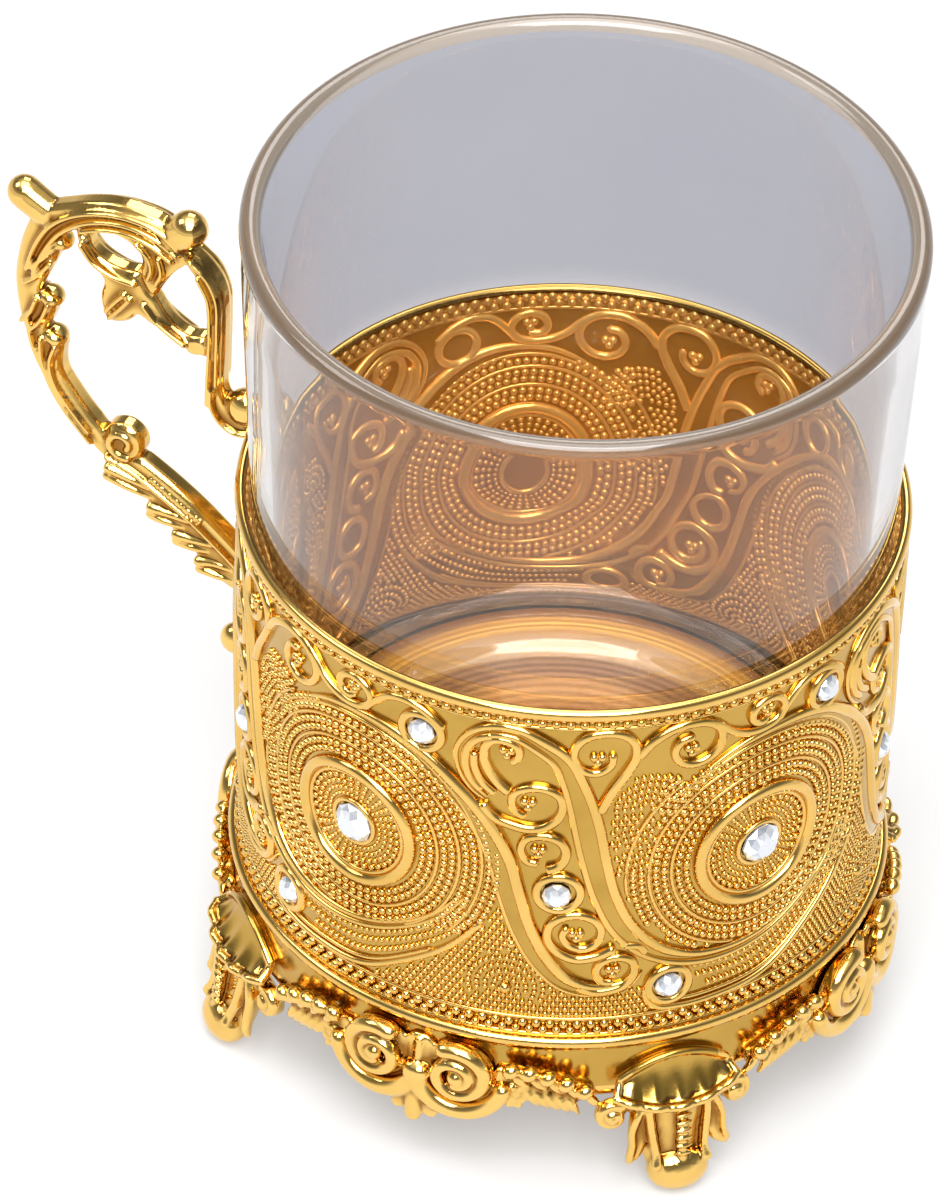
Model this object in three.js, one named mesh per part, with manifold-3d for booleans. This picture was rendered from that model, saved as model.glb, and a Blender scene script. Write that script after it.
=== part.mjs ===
// Gilt tea-glass holder on four cast feet, with a lift-out glass tumbler.
// Millimetres, +Z up, soles at z = 0, handle towards -X.
// Azimuths are degrees from -Y towards +X, seen from above.
import * as THREE from "three";
import { mergeVertices } from "three/addons/utils/BufferGeometryUtils.js";
import Module from "manifold-3d";

// Fits
const FIT_GAP = 0.3; // between pieces that seat on each other's sides
const ROUND_STEPS = 56; // facets in a full turn of the round pieces

// Glass tumbler
const GLASS_HEIGHT = 85.3;
const GLASS_MOUTH_RADIUS = 36.9;
const GLASS_BASE_RADIUS = 32.2;
const GLASS_WALL = 2.4;
const GLASS_FLOOR = 9.5;
const GLASS_CHAMFER = 1.2;
const GLASS_FILLET = 2.5;
const RIM_ROUND = 0.6;

// Base ring and the plate that the glass stands on
const LEG_HEIGHT = 11.6; // floor to the lower edge of the base ring
const RING_HEIGHT = 8.6;
const RING_WALL = 1.6;
const RING_STEP = 0.3; // how far the ring's wall stands outside the sleeve's foot
const BEAD_REACH = 1; // top bead of the ring, beyond its wall
const BEAD_HEIGHT = 1.2;
const BEAD_ROUND = 0.36; // bevel that rounds the bead
const LEDGE_WIDTH = 2.2;
const LEDGE_THICKNESS = 1;
const LEDGE_DEPTH = 2.3; // ring's top to the ledge's upper face
const PLATE_THICKNESS = 1.2;

// Sleeve and its rolled lip
const SLEEVE_HEIGHT = 46;
const SLEEVE_WALL = 0.6;
const TOP_CLEARANCE = 0.28; // glass to sleeve at the lip
const BOTTOM_CLEARANCE = 2.04; // glass to sleeve at the sleeve's foot
const LIP_WIDTH = 1.2;
const LIP_HEIGHT = 1.1;
const LIP_ROUND = 0.3; // bevel that rounds the lip

// Feet
const FOOT_AZIMUTHS = [45, 135, 225, 315];
const FOOT_RISE = 6.4; // how far a foot climbs the base ring
const FOOT_WIDTH = 14;
const FOOT_DEPTH = 4.8; // radial depth at the shell
const FOOT_CURL_RADIUS = 1.6;
const FOOT_CURL_DEPTH = 2.2;
const FOOT_CURL_DROP = 0.86; // curl's middle below the shell's lower edge
const FOOT_CURL_INSET = 0.4; // curl's middle inside the shell's edge

const FOOT_SHELL_EDGE = 0.62; // shell's lower edge, as a share of the foot's height

// Sections of a foot from the toe to the shell's top, as shares of its height, depth and width
const FOOT_SECTIONS = [
  { rise: 0, back: 0.3, front: 0.92, half: 0.17 },
  { rise: 0.07, back: 0.16, front: 1.06, half: 0.23 },
  { rise: 0.155, back: 0.1, front: 0.92, half: 0.24 },
  { rise: 0.21, back: 0.1, front: 0.72, half: 0.37 },
  { rise: 0.39, back: 0.08, front: 0.62, half: 0.385 },
  { rise: 0.57, back: 0.02, front: 0.6, half: 0.33 },
  { rise: FOOT_SHELL_EDGE, back: 0, front: 0.8, half: 0.4 },
  { rise: 0.74, back: 0, front: 1, half: 0.49 },
  { rise: 0.89, back: 0, front: 0.7, half: 0.5 },
  { rise: 1, back: 0, front: 0.2, half: 0.33 },
];
const FOOT_SIDES = 14;

// Scroll mounts between the feet
const SCROLL_AZIMUTHS = [0, 90, 180, 270];
const VOLUTE_RADIUS = 4.1;
const VOLUTE_DEPTH = 2.4;
const VOLUTE_SPREAD = 0.6; // half the space between a pair of volutes
const EYE_RADIUS = 1.7;
const EYE_REACH = 0.8;
const LOBE_WIDTH = 7.8; // rounded lobe under each volute
const LOBE_HEIGHT = 3.4;
const LOBE_DEPTH = 2.6;
const DROP_LENGTH = 7.2; // leaf that hangs between the volutes
const DROP_WIDTH = 3.2;
const DROP_DEPTH = 2.8;

// Leaf garlands between scrolls and feet
const GARLAND_DEPTH = 1.4;
const GARLAND_HEIGHT = 7.6;
const GARLAND_SCALLOP = 1.1;
const GARLAND_SLOPE = 1; // how much the top edge falls towards the foot
const GARLAND_STEPS = 8;

// Stones set in the sleeve: one large and three small in each repeat of the embossed panel
const PANEL_PITCH = 76; // degrees from one panel to the next
const PANEL_COUNT = 6; // enough repeats to pass the seam on both sides
const FIRST_PANEL = -91.85; // azimuth of the first panel's large stone
const SEAM_AZIMUTH = -90; // the rolled sheet's ends meet behind the handle
const SEAM_MARGIN = 6; // degrees on each side of the seam without stones
const STONE_SIDES = 12;
const STONE_TABLE = 0.55; // table's share of the stone's radius
const LARGE_STONE = { radius: 2.4, height: 1.3 };
const SMALL_STONE = { radius: 1.6, height: 1 };
const LARGE_STONE_RISE = 23; // stones' middles above the sleeve's foot
const TOP_STONE_RISE = 40.4;
const MIDDLE_STONE_RISE = 20.5;
const LOW_STONE_RISE = 6.2;
const STONES = [
  { name: "stone_large", size: LARGE_STONE, offset: 0, rise: LARGE_STONE_RISE },
  { name: "stone_top", size: SMALL_STONE, offset: 13.6, rise: TOP_STONE_RISE },
  { name: "stone_middle", size: SMALL_STONE, offset: -37.15, rise: MIDDLE_STONE_RISE },
  { name: "stone_low", size: SMALL_STONE, offset: -16.5, rise: LOW_STONE_RISE },
];

// Handle: a flat openwork casting in the plane y = 0
const HANDLE_REACH = 31; // sleeve's wall to the outer edge of the spine
const LOWER_JOINT_RISE = 20; // lower arm's joint above the sleeve's foot
const UPPER_JOINT_DROP = 2.2; // upper arm's joint below the sleeve's top
const HANDLE_THICKNESS = 3.4;
const BAR_THICKNESS = 2.7;
const ARCH_WIDTH = 4.6; // spine's band over the top arch
const TAIL_WIDTH = 2.8; // spine's band where it ends below the lower joint
const ARM_WIDTH = 3;
const BAR_WIDTH = 2.4;
const THUMB_RADIUS = 2.2;
const TERMINAL_RADIUS = 1.9;
const CURL_RADIUS = 2.6;
const LEAF_RADIUS = 2.5;
const FEATHER_LENGTH = 6.6;
const FEATHER_WIDTH = 2.2;
const SPINE_LOBE_LENGTH = 4.6; // leaf lobes on the spine's inner side

// Handle's lines, as [share of the reach, share of the height between the two joints]
const SPINE_LINE = [
  [0.35, 1.87], [0.44, 1.885], [0.57, 1.885], [0.7, 1.865], [0.82, 1.815], [0.9, 1.735],
  [0.935, 1.6], [0.94, 1.42], [0.925, 1.23], [0.89, 1.06], [0.825, 0.89], [0.745, 0.745],
  [0.65, 0.61], [0.56, 0.515], [0.44, 0.405], [0.31, 0.305], [0.18, 0.185], [0.1, 0.06],
  [0.065, -0.1], [0.065, -0.26], [0.1, -0.37],
];
const ARM_LINE = [
  [0.03, 0.9], [0.09, 0.885], [0.15, 0.905], [0.205, 0.98], [0.225, 1.1], [0.215, 1.27],
  [0.2, 1.42], [0.21, 1.59], [0.245, 1.735], [0.3, 1.83], [0.37, 1.88],
];
const LOWER_BAR_LINE = [
  [0.24, 1.33], [0.36, 1.36], [0.47, 1.44], [0.57, 1.56], [0.7, 1.62], [0.78, 1.74],
];
const UPPER_BAR_LINE = [[0.36, 1.82], [0.42, 1.63], [0.49, 1.5]];
const THUMB_PLACES = [[0.32, 1.94], [0.955, 1.84]];
const TERMINAL_PLACE = [0.115, -0.39];
const CURL_PLACE = [0.545, 0.63];
const LEAF_PLACE = [0.585, 1.42];
const UPPER_PAD_PLACE = [0.07, 0.97];
const FEATHERS = [[0.5, 0.41], [0.355, 0.285], [0.26, 0.195], [0.175, 0.085]];
const FEATHER_TILT = 12;
const SPINE_LOBES = [
  { place: [0.86, 1.55], tilt: 75 },
  { place: [0.86, 1.27], tilt: 70 },
  { place: [0.825, 1.03], tilt: 60 },
];

// Heights and radii that follow from the driving dimensions
const ringTop = LEG_HEIGHT + RING_HEIGHT;
const ledgeTop = ringTop - LEDGE_DEPTH;
const glassBase = ledgeTop + PLATE_THICKNESS;
const sleeveTop = ringTop + SLEEVE_HEIGHT;
const glassRadiusAt = (z) => {
  const share = (z - glassBase) / GLASS_HEIGHT;
  return GLASS_BASE_RADIUS + (GLASS_MOUTH_RADIUS - GLASS_BASE_RADIUS) * share;
};
const sleeveInnerTop = glassRadiusAt(sleeveTop + LIP_HEIGHT) + TOP_CLEARANCE;
const sleeveInnerBottom = glassRadiusAt(ringTop) + BOTTOM_CLEARANCE;
const sleeveOuterAt = (z) => {
  const share = (z - ringTop) / SLEEVE_HEIGHT;
  return sleeveInnerBottom + (sleeveInnerTop - sleeveInnerBottom) * share + SLEEVE_WALL;
};
const ringRadius = sleeveOuterAt(ringTop) + RING_STEP;
const seatRadius = ringRadius + FIT_GAP; // back of the feet, scrolls and garlands
const beadBottom = ringTop - BEAD_HEIGHT;

const radians = THREE.MathUtils.degToRad;
const degrees = THREE.MathUtils.radToDeg;

const wasm = await Module();
wasm.setup();

function solidOf(geometry) {
  const bare = geometry.clone();
  bare.deleteAttribute("normal");
  bare.deleteAttribute("uv");
  const merged = mergeVertices(bare, 1e-4);
  return new wasm.Manifold(
    new wasm.Mesh({
      numProp: 3,
      vertProperties: merged.attributes.position.array,
      triVerts: new Uint32Array(merged.index.array),
    }),
  );
}

function geometryOf(solid) {
  const mesh = solid.getMesh();
  return new THREE.BufferGeometry()
    .setAttribute("position", new THREE.BufferAttribute(mesh.vertProperties, 3))
    .setIndex(new THREE.BufferAttribute(mesh.triVerts, 1));
}

const join = (geometries) => geometries.map(solidOf).reduce((all, one) => all.add(one));

// A solid of revolution about Z from [radius, z] points.
function lathe(profile) {
  const points = profile.map(([r, z]) => new THREE.Vector2(r, z));
  return new THREE.LatheGeometry(points, ROUND_STEPS).rotateX(Math.PI / 2);
}

// A closed skin through rings of points, each counter-clockwise seen from the next ring.
function loft(rings) {
  const count = rings[0].length;
  const last = (rings.length - 1) * count;
  const index = [];
  for (let ring = 0; ring < last; ring += count) {
    for (let k = 0; k < count; k++) {
      const a = ring + k;
      const b = ring + ((k + 1) % count);
      index.push(a, b, a + count, b, b + count, a + count);
    }
  }
  for (let k = 1; k + 1 < count; k++) {
    index.push(0, k + 1, k, last, last + k, last + k + 1);
  }
  const points = rings.flat().flatMap((point) => point.toArray());
  return new THREE.BufferGeometry()
    .setAttribute("position", new THREE.Float32BufferAttribute(points, 3))
    .setIndex(index);
}

// A bar of oval section along a curve in the plane y = 0, tapering from one width to the other.
function bar(points, [startWidth, endWidth], thickness, steps, sides = 8) {
  const curve = new THREE.CatmullRomCurve3(points, false, "centripetal");
  const across = new THREE.Vector3(0, 1, 0);
  const rings = [];
  for (let i = 0; i <= steps; i++) {
    const width = THREE.MathUtils.lerp(startWidth, endWidth, i / steps);
    const centre = curve.getPointAt(i / steps);
    const side = new THREE.Vector3().crossVectors(across, curve.getTangentAt(i / steps)).normalize();
    const ring = [];
    for (let k = 0; k < sides; k++) {
      const turn = (2 * Math.PI * (k + 0.5)) / sides;
      ring.push(
        centre
          .clone()
          .addScaledVector(side, (Math.cos(turn) * width) / 2)
          .addScaledVector(across, (Math.sin(turn) * thickness) / 2),
      );
    }
    rings.push(ring);
  }
  return loft(rings);
}

// An ellipsoid with its half-sizes along X, Y and Z.
function ellipsoid(halfX, halfY, halfZ) {
  return new THREE.SphereGeometry(1, 8, 6).scale(halfX, halfY, halfZ);
}

// A disc whose axis points outwards along X, from its back face to its front.
function radialDisc(radius, back, depth, sides, frontRadius = radius) {
  return new THREE.CylinderGeometry(frontRadius, radius, depth, sides)
    .rotateZ(-Math.PI / 2)
    .translate(back + depth / 2, 0, 0);
}

function glassTumbler() {
  const top = glassBase + GLASS_HEIGHT;
  const floor = glassBase + GLASS_FLOOR;
  const innerFloor = glassRadiusAt(floor) - GLASS_WALL;
  const fillet = floor + GLASS_FILLET;
  return lathe([
    [0, glassBase],
    [GLASS_BASE_RADIUS - GLASS_CHAMFER, glassBase],
    [glassRadiusAt(glassBase + GLASS_CHAMFER), glassBase + GLASS_CHAMFER],
    [glassRadiusAt(top - RIM_ROUND), top - RIM_ROUND],
    [GLASS_MOUTH_RADIUS - RIM_ROUND, top],
    [GLASS_MOUTH_RADIUS - GLASS_WALL + RIM_ROUND, top],
    [glassRadiusAt(top - RIM_ROUND) - GLASS_WALL, top - RIM_ROUND],
    [glassRadiusAt(fillet) - GLASS_WALL, fillet],
    [innerFloor - GLASS_FILLET, floor],
    [0, floor],
  ]);
}

function sleeve() {
  const outerTop = sleeveOuterAt(sleeveTop);
  const outerBottom = sleeveOuterAt(ringTop);
  return lathe([
    [outerBottom, ringTop],
    [outerTop, sleeveTop],
    [outerTop - SLEEVE_WALL, sleeveTop],
    [outerBottom - SLEEVE_WALL, ringTop],
    [outerBottom, ringTop],
  ]);
}

function sleeveLip() {
  const inner = sleeveInnerTop;
  const top = sleeveTop + LIP_HEIGHT;
  return lathe([
    [inner, sleeveTop],
    [inner + LIP_WIDTH - LIP_ROUND, sleeveTop],
    [inner + LIP_WIDTH, sleeveTop + LIP_ROUND],
    [inner + LIP_WIDTH, top - LIP_ROUND],
    [inner + LIP_WIDTH - LIP_ROUND, top],
    [inner + LIP_ROUND, top],
    [inner, top - LIP_ROUND],
    [inner, sleeveTop],
  ]);
}

function baseRing() {
  const inner = ringRadius - RING_WALL;
  const bead = ringRadius + BEAD_REACH;
  const ledgeBottom = ledgeTop - LEDGE_THICKNESS;
  return lathe([
    [ringRadius, LEG_HEIGHT],
    [ringRadius, beadBottom],
    [bead, beadBottom + BEAD_ROUND],
    [bead, ringTop - BEAD_ROUND],
    [bead - BEAD_ROUND, ringTop],
    [inner, ringTop],
    [inner, ledgeTop],
    [inner - LEDGE_WIDTH, ledgeTop],
    [inner - LEDGE_WIDTH, ledgeBottom],
    [inner, ledgeBottom],
    [inner, LEG_HEIGHT],
    [ringRadius, LEG_HEIGHT],
  ]);
}

function basePlate() {
  const radius = ringRadius - RING_WALL - FIT_GAP;
  return lathe([[0, ledgeTop], [radius, ledgeTop], [radius, glassBase], [0, glassBase]]);
}

// One foot, facing +X: a shell leaf over a leafy leg that ends in a rounded toe.
function foot() {
  const height = LEG_HEIGHT + FOOT_RISE;
  const rings = FOOT_SECTIONS.map(({ rise, back, front, half }) => {
    const ring = [];
    for (let k = 0; k < FOOT_SIDES; k++) {
      const turn = (2 * Math.PI * k) / FOOT_SIDES;
      const outward = (back + front + (front - back) * Math.cos(turn)) / 2;
      ring.push(
        new THREE.Vector3(
          seatRadius + outward * FOOT_DEPTH,
          FOOT_WIDTH * half * Math.sin(turn),
          height * rise,
        ),
      );
    }
    return ring;
  });
  const curls = [-1, 1].map((side) =>
    radialDisc(FOOT_CURL_RADIUS, seatRadius + FIT_GAP, FOOT_CURL_DEPTH, 12).translate(
      0,
      side * (FOOT_WIDTH / 2 - FOOT_CURL_INSET),
      height * FOOT_SHELL_EDGE - FOOT_CURL_DROP,
    ),
  );
  return geometryOf(join([loft(rings), ...curls]));
}

const voluteTurn = degrees(Math.asin((VOLUTE_RADIUS + VOLUTE_SPREAD) / (seatRadius + VOLUTE_DEPTH)));
const voluteHeight = beadBottom - FIT_GAP - VOLUTE_RADIUS;

// One scroll mount, facing +X: two volutes with lobes below and a drop leaf between them.
function scrollMount() {
  const pieces = [-1, 1].flatMap((side) => {
    const turn = radians(side * voluteTurn);
    const lobeHeight = voluteHeight - VOLUTE_RADIUS;
    return [
      radialDisc(VOLUTE_RADIUS, seatRadius, VOLUTE_DEPTH, 16).translate(0, 0, voluteHeight).rotateZ(turn),
      radialDisc(EYE_RADIUS, seatRadius + VOLUTE_DEPTH / 2, VOLUTE_DEPTH / 2 + EYE_REACH, 8)
        .translate(0, 0, voluteHeight)
        .rotateZ(turn),
      ellipsoid(LOBE_DEPTH / 2, LOBE_WIDTH / 2, LOBE_HEIGHT / 2)
        .translate(seatRadius + LOBE_DEPTH / 2, 0, lobeHeight)
        .rotateZ(turn),
    ];
  });
  const drop = ellipsoid(DROP_DEPTH / 2, DROP_WIDTH / 2, DROP_LENGTH / 2).translate(
    seatRadius + DROP_DEPTH / 2,
    0,
    voluteHeight - VOLUTE_RADIUS - FIT_GAP,
  );
  return geometryOf(join([...pieces, drop]));
}

// Angles left for a garland, counted from the middle of the scroll that it hangs beside.
const scrollHalfTurn = voluteTurn + degrees(Math.asin((VOLUTE_RADIUS + FIT_GAP) / seatRadius));
const footHalfWidth = FOOT_WIDTH / 2 + FOOT_CURL_RADIUS + FIT_GAP;
const footHalfTurn = degrees(Math.asin(footHalfWidth / seatRadius));
const quarter = FOOT_AZIMUTHS[0] - SCROLL_AZIMUTHS[0];

// One leaf garland: a curved apron with a scalloped lower edge, turning from scroll to foot.
function garland(side) {
  const from = scrollHalfTurn;
  const to = quarter - footHalfTurn;
  const front = seatRadius + GARLAND_DEPTH;
  const rings = [];
  for (let i = 0; i <= GARLAND_STEPS; i++) {
    const share = i / GARLAND_STEPS;
    const turn = radians(side * (from + (to - from) * share));
    const top = beadBottom - FIT_GAP - GARLAND_SLOPE * share;
    const bottom = beadBottom - GARLAND_HEIGHT - (i % 2) * GARLAND_SCALLOP;
    const corner = (radius, z) => new THREE.Vector3(radius * Math.cos(turn), radius * Math.sin(turn), z);
    const face = [corner(front, bottom), corner(front, top)];
    const back = [corner(seatRadius, top), corner(seatRadius, bottom)];
    const ring = [...face, ...back];
    rings.push(side > 0 ? ring.reverse() : ring);
  }
  return loft(rings);
}

// One stone, facing +X: a round girdle that tapers to its table.
function stone({ radius, height }, rise) {
  const back = sleeveOuterAt(ringTop + rise) + FIT_GAP;
  return radialDisc(radius, back, height, STONE_SIDES, radius * STONE_TABLE).translate(0, 0, ringTop + rise);
}

// The handle, in the plane y = 0 towards -X, cut back from the sleeve's wall.
function handle() {
  const lowerJoint = ringTop + LOWER_JOINT_RISE;
  const span = SLEEVE_HEIGHT - UPPER_JOINT_DROP - LOWER_JOINT_RISE;
  const wall = sleeveOuterAt(sleeveTop);
  const place = ([reach, height]) =>
    new THREE.Vector3(-wall - HANDLE_REACH * reach, 0, lowerJoint + span * height);
  const line = (points) => points.map(place);
  const put = (geometry, at) => geometry.translate(...place(at).toArray());
  const half = HANDLE_THICKNESS / 2;
  const pieces = [
    bar(line(SPINE_LINE), [ARCH_WIDTH, TAIL_WIDTH], HANDLE_THICKNESS, 36),
    bar(line(ARM_LINE), [ARM_WIDTH, ARM_WIDTH], HANDLE_THICKNESS, 20),
    bar(line(LOWER_BAR_LINE), [BAR_WIDTH, BAR_WIDTH], BAR_THICKNESS, 10),
    bar(line(UPPER_BAR_LINE), [BAR_WIDTH, BAR_WIDTH], BAR_THICKNESS, 6),
    ...THUMB_PLACES.map((at) => put(ellipsoid(THUMB_RADIUS, THUMB_RADIUS, THUMB_RADIUS), at)),
    put(ellipsoid(TERMINAL_RADIUS, half, TERMINAL_RADIUS), TERMINAL_PLACE),
    put(new THREE.CylinderGeometry(CURL_RADIUS, CURL_RADIUS, HANDLE_THICKNESS, 12), CURL_PLACE),
    put(ellipsoid(LEAF_RADIUS, half, LEAF_RADIUS), LEAF_PLACE),
    put(ellipsoid(ARM_WIDTH, half, ARM_WIDTH), UPPER_PAD_PLACE),
    ...FEATHERS.map((at) =>
      put(ellipsoid(FEATHER_LENGTH / 2, half, FEATHER_WIDTH / 2).rotateY(radians(FEATHER_TILT)), at),
    ),
    ...SPINE_LOBES.map(({ place: at, tilt }) =>
      put(ellipsoid(SPINE_LOBE_LENGTH / 2, half, BAR_WIDTH / 2).rotateY(radians(tilt)), at),
    ),
  ];
  const lip = sleeveInnerTop + LIP_WIDTH + FIT_GAP;
  const lipTop = sleeveTop + LIP_HEIGHT + FIT_GAP;
  const core = lathe([
    [0, ringTop],
    [sleeveOuterAt(ringTop) + FIT_GAP, ringTop],
    [wall + FIT_GAP, sleeveTop - FIT_GAP],
    [lip, sleeveTop - FIT_GAP],
    [lip, lipTop],
    [0, lipTop],
  ]);
  return geometryOf(join(pieces).subtract(solidOf(core)));
}

const gilt = (roughness) => new THREE.MeshStandardMaterial({ color: 0xd9a441, metalness: 1, roughness });
const clearGlass = () =>
  new THREE.MeshStandardMaterial({
    color: 0xe6e6ee,
    metalness: 0,
    roughness: 0.05,
    transparent: true,
    opacity: 0.35,
  });
const crystal = () => new THREE.MeshStandardMaterial({ color: 0xeef2f6, metalness: 0, roughness: 0.05 });

const cup = new THREE.Group();

function add(name, geometry, material, azimuth = null) {
  const mesh = new THREE.Mesh(geometry, material);
  mesh.name = name;
  if (azimuth !== null) mesh.rotation.z = radians(azimuth - 90);
  cup.add(mesh);
}

add("glass_tumbler", glassTumbler(), clearGlass());
add("sleeve", sleeve(), gilt(0.25));
add("sleeve_lip", sleeveLip(), gilt(0.12));
add("base_ring", baseRing(), gilt(0.15));
add("base_plate", basePlate(), gilt(0.2));
add("handle", handle(), gilt(0.18));

FOOT_AZIMUTHS.forEach((azimuth, i) => add(`foot_${i + 1}`, foot(), gilt(0.18), azimuth));
SCROLL_AZIMUTHS.forEach((azimuth, i) => {
  add(`scroll_mount_${i + 1}`, scrollMount(), gilt(0.18), azimuth);
  add(`leaf_garland_${2 * i + 1}`, garland(-1), gilt(0.2), azimuth);
  add(`leaf_garland_${2 * i + 2}`, garland(1), gilt(0.2), azimuth);
});

for (const { name, size, offset, rise } of STONES) {
  let number = 0;
  for (let panel = 0; panel < PANEL_COUNT; panel++) {
    const azimuth = FIRST_PANEL + panel * PANEL_PITCH + offset;
    const pastSeam = azimuth - SEAM_AZIMUTH;
    if (pastSeam > SEAM_MARGIN && pastSeam < 360 - SEAM_MARGIN) {
      number += 1;
      add(`${name}_${number}`, stone(size, rise), crystal(), azimuth);
    }
  }
}

// The cup is set so that the whole object is centred on the origin.
const teaGlassHolder = new THREE.Group();
teaGlassHolder.add(cup);
const bounds = new THREE.Box3().setFromObject(cup, true);
const middle = bounds.getCenter(new THREE.Vector3());
cup.position.set(-middle.x, -middle.y, -bounds.min.z);

export default teaGlassHolder;
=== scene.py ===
"""Dresses the solids of a footed gilt tea-glass holder and its lift-out tumbler.

Lengths in this file are millimetres from the cup's axis and the floor. They turn into metres in the
frame's own coordinates when a mesh is made. Azimuths are degrees from -Y towards +X, seen from above.
Flat coordinates are (across, up, out): along the wall, up, and away from the axis.
"""

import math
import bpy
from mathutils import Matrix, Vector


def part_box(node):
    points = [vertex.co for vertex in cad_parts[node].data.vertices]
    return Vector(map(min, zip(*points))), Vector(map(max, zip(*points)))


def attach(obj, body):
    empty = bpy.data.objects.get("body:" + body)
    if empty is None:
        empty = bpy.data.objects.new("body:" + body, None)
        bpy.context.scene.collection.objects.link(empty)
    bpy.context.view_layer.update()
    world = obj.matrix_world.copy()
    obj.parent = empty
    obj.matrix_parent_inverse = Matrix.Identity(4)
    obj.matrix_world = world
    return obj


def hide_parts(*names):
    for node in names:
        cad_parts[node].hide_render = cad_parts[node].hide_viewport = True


bl_info = {
    "name": "Gilt Tea Glass Holder",
    "version": (1, 0, 0),
    "blender": (4, 5, 0),
    "location": "View3D > Sidebar > Tea Glass",
    "description": "Dresses the solids of a gilt tea-glass holder and its tumbler",
    "category": "Object",
}

import bpy
import numpy as np
from bpy.props import FloatProperty, FloatVectorProperty, IntProperty, PointerProperty
from mathutils import Matrix, Vector

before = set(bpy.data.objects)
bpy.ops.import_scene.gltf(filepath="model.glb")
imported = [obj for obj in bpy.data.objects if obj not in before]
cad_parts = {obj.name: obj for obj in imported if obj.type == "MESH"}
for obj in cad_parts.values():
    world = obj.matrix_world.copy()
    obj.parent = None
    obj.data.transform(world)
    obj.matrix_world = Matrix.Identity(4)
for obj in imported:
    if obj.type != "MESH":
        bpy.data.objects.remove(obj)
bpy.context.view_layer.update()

MM = 0.001


def box_mm(node):
    """Lowest and highest corner of a CAD node."""
    low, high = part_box(node)
    return np.array(low) / MM, np.array(high) / MM


def levels(node):
    """Lowest and highest level of a CAD node."""
    return [float(corner[2]) for corner in box_mm(node)]


def outer_radius(node):
    """Largest radius of a round CAD node."""
    return float(box_mm(node)[1][1])


AXIS_X = float(sum(corner[0] for corner in box_mm("base_plate")) / 2)


def radius_at(node, height, within=0.4):
    """Largest radius of a round CAD node's corners near a height."""
    corners = np.array([v.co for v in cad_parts[node].data.vertices]) / MM
    near = corners[np.abs(corners[:, 2] - height) < within]
    return float(np.hypot(near[:, 0] - AXIS_X, near[:, 1]).max())


SLEEVE_FOOT, SLEEVE_TOP = levels("sleeve")
SLEEVE_HEIGHT = SLEEVE_TOP - SLEEVE_FOOT
FOOT_RADIUS = radius_at("sleeve", SLEEVE_FOOT)
TOP_RADIUS = radius_at("sleeve", SLEEVE_TOP)
LIP_TOP = levels("sleeve_lip")[1]
LIP_RADIUS = outer_radius("sleeve_lip")
RING_FOOT = levels("base_ring")[0]
RING_BEAD = outer_radius("base_ring")
PLATE_FOOT, PLATE_TOP = levels("base_plate")
PLATE_EDGE = outer_radius("base_plate")
GLASS_FOOT, GLASS_TOP = levels("glass_tumbler")
GLASS_MOUTH = outer_radius("glass_tumbler")
GLASS_FOOT_EDGE = 1.2
GLASS_RIM_EDGE = 0.6
GLASS_WALL = 2.4
GLASS_FLOOR = GLASS_FOOT + 9.5
GLASS_FLOOR_RING = 22.5
SEAT_RADIUS = 35.5
MEAN_RADIUS = 35.7
DEGREES_PER_MM = math.degrees(1 / MEAN_RADIUS)
FOOT_AZIMUTHS = (45, 135, 225, 315)
SCROLL_AZIMUTHS = (0, 90, 180, 270)
PANEL_DEGREES = 76
PANEL_PITCH = PANEL_DEGREES / DEGREES_PER_MM
PANEL_AZIMUTH = 60.15
SEAM_AZIMUTH = -90
SEAM_MARGIN = 1.2


def wall_radius(up):
    """Outer radius of the sleeve at a height above its foot."""
    return FOOT_RADIUS + (TOP_RADIUS - FOOT_RADIUS) * up / SLEEVE_HEIGHT


class HolderSizes(bpy.types.PropertyGroup):
    """Sizes of the dressed pieces."""

    sheet: FloatProperty(
        name="Sheet", description="Thickness of the embossed sheet",
        default=0.3 * MM, unit="LENGTH", precision=5)
    bead: FloatProperty(
        name="Bead", description="Radius of a bead in the double rows",
        default=0.48 * MM, unit="LENGTH", precision=5)
    fine_bead: FloatProperty(
        name="Fine bead", description="Radius of a bead in the filled grounds",
        default=0.36 * MM, unit="LENGTH", precision=5)
    border_bead: FloatProperty(
        name="Border bead", description="Radius of a border bead",
        default=0.6 * MM, unit="LENGTH", precision=5)
    wire: FloatProperty(
        name="Wire", description="Half width of the thin wires",
        default=0.42 * MM, unit="LENGTH", precision=5)
    voxel: FloatProperty(
        name="Casting grain", description="Finest form in the cast pieces",
        default=0.2 * MM, unit="LENGTH", precision=5)
    ribbon_rise: FloatProperty(
        name="Ribbon rise", description="Rise of a ribbon against its width",
        default=0.24, min=0, max=1, subtype="FACTOR")
    facets: IntProperty(
        name="Facets", description="Facets in a turn of the round pieces", default=160, min=3)


def size_mm(name):
    """A length that a user may change, in millimetres."""
    return round(getattr(bpy.context.scene.holder_sizes, name) / MM, 5)


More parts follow.
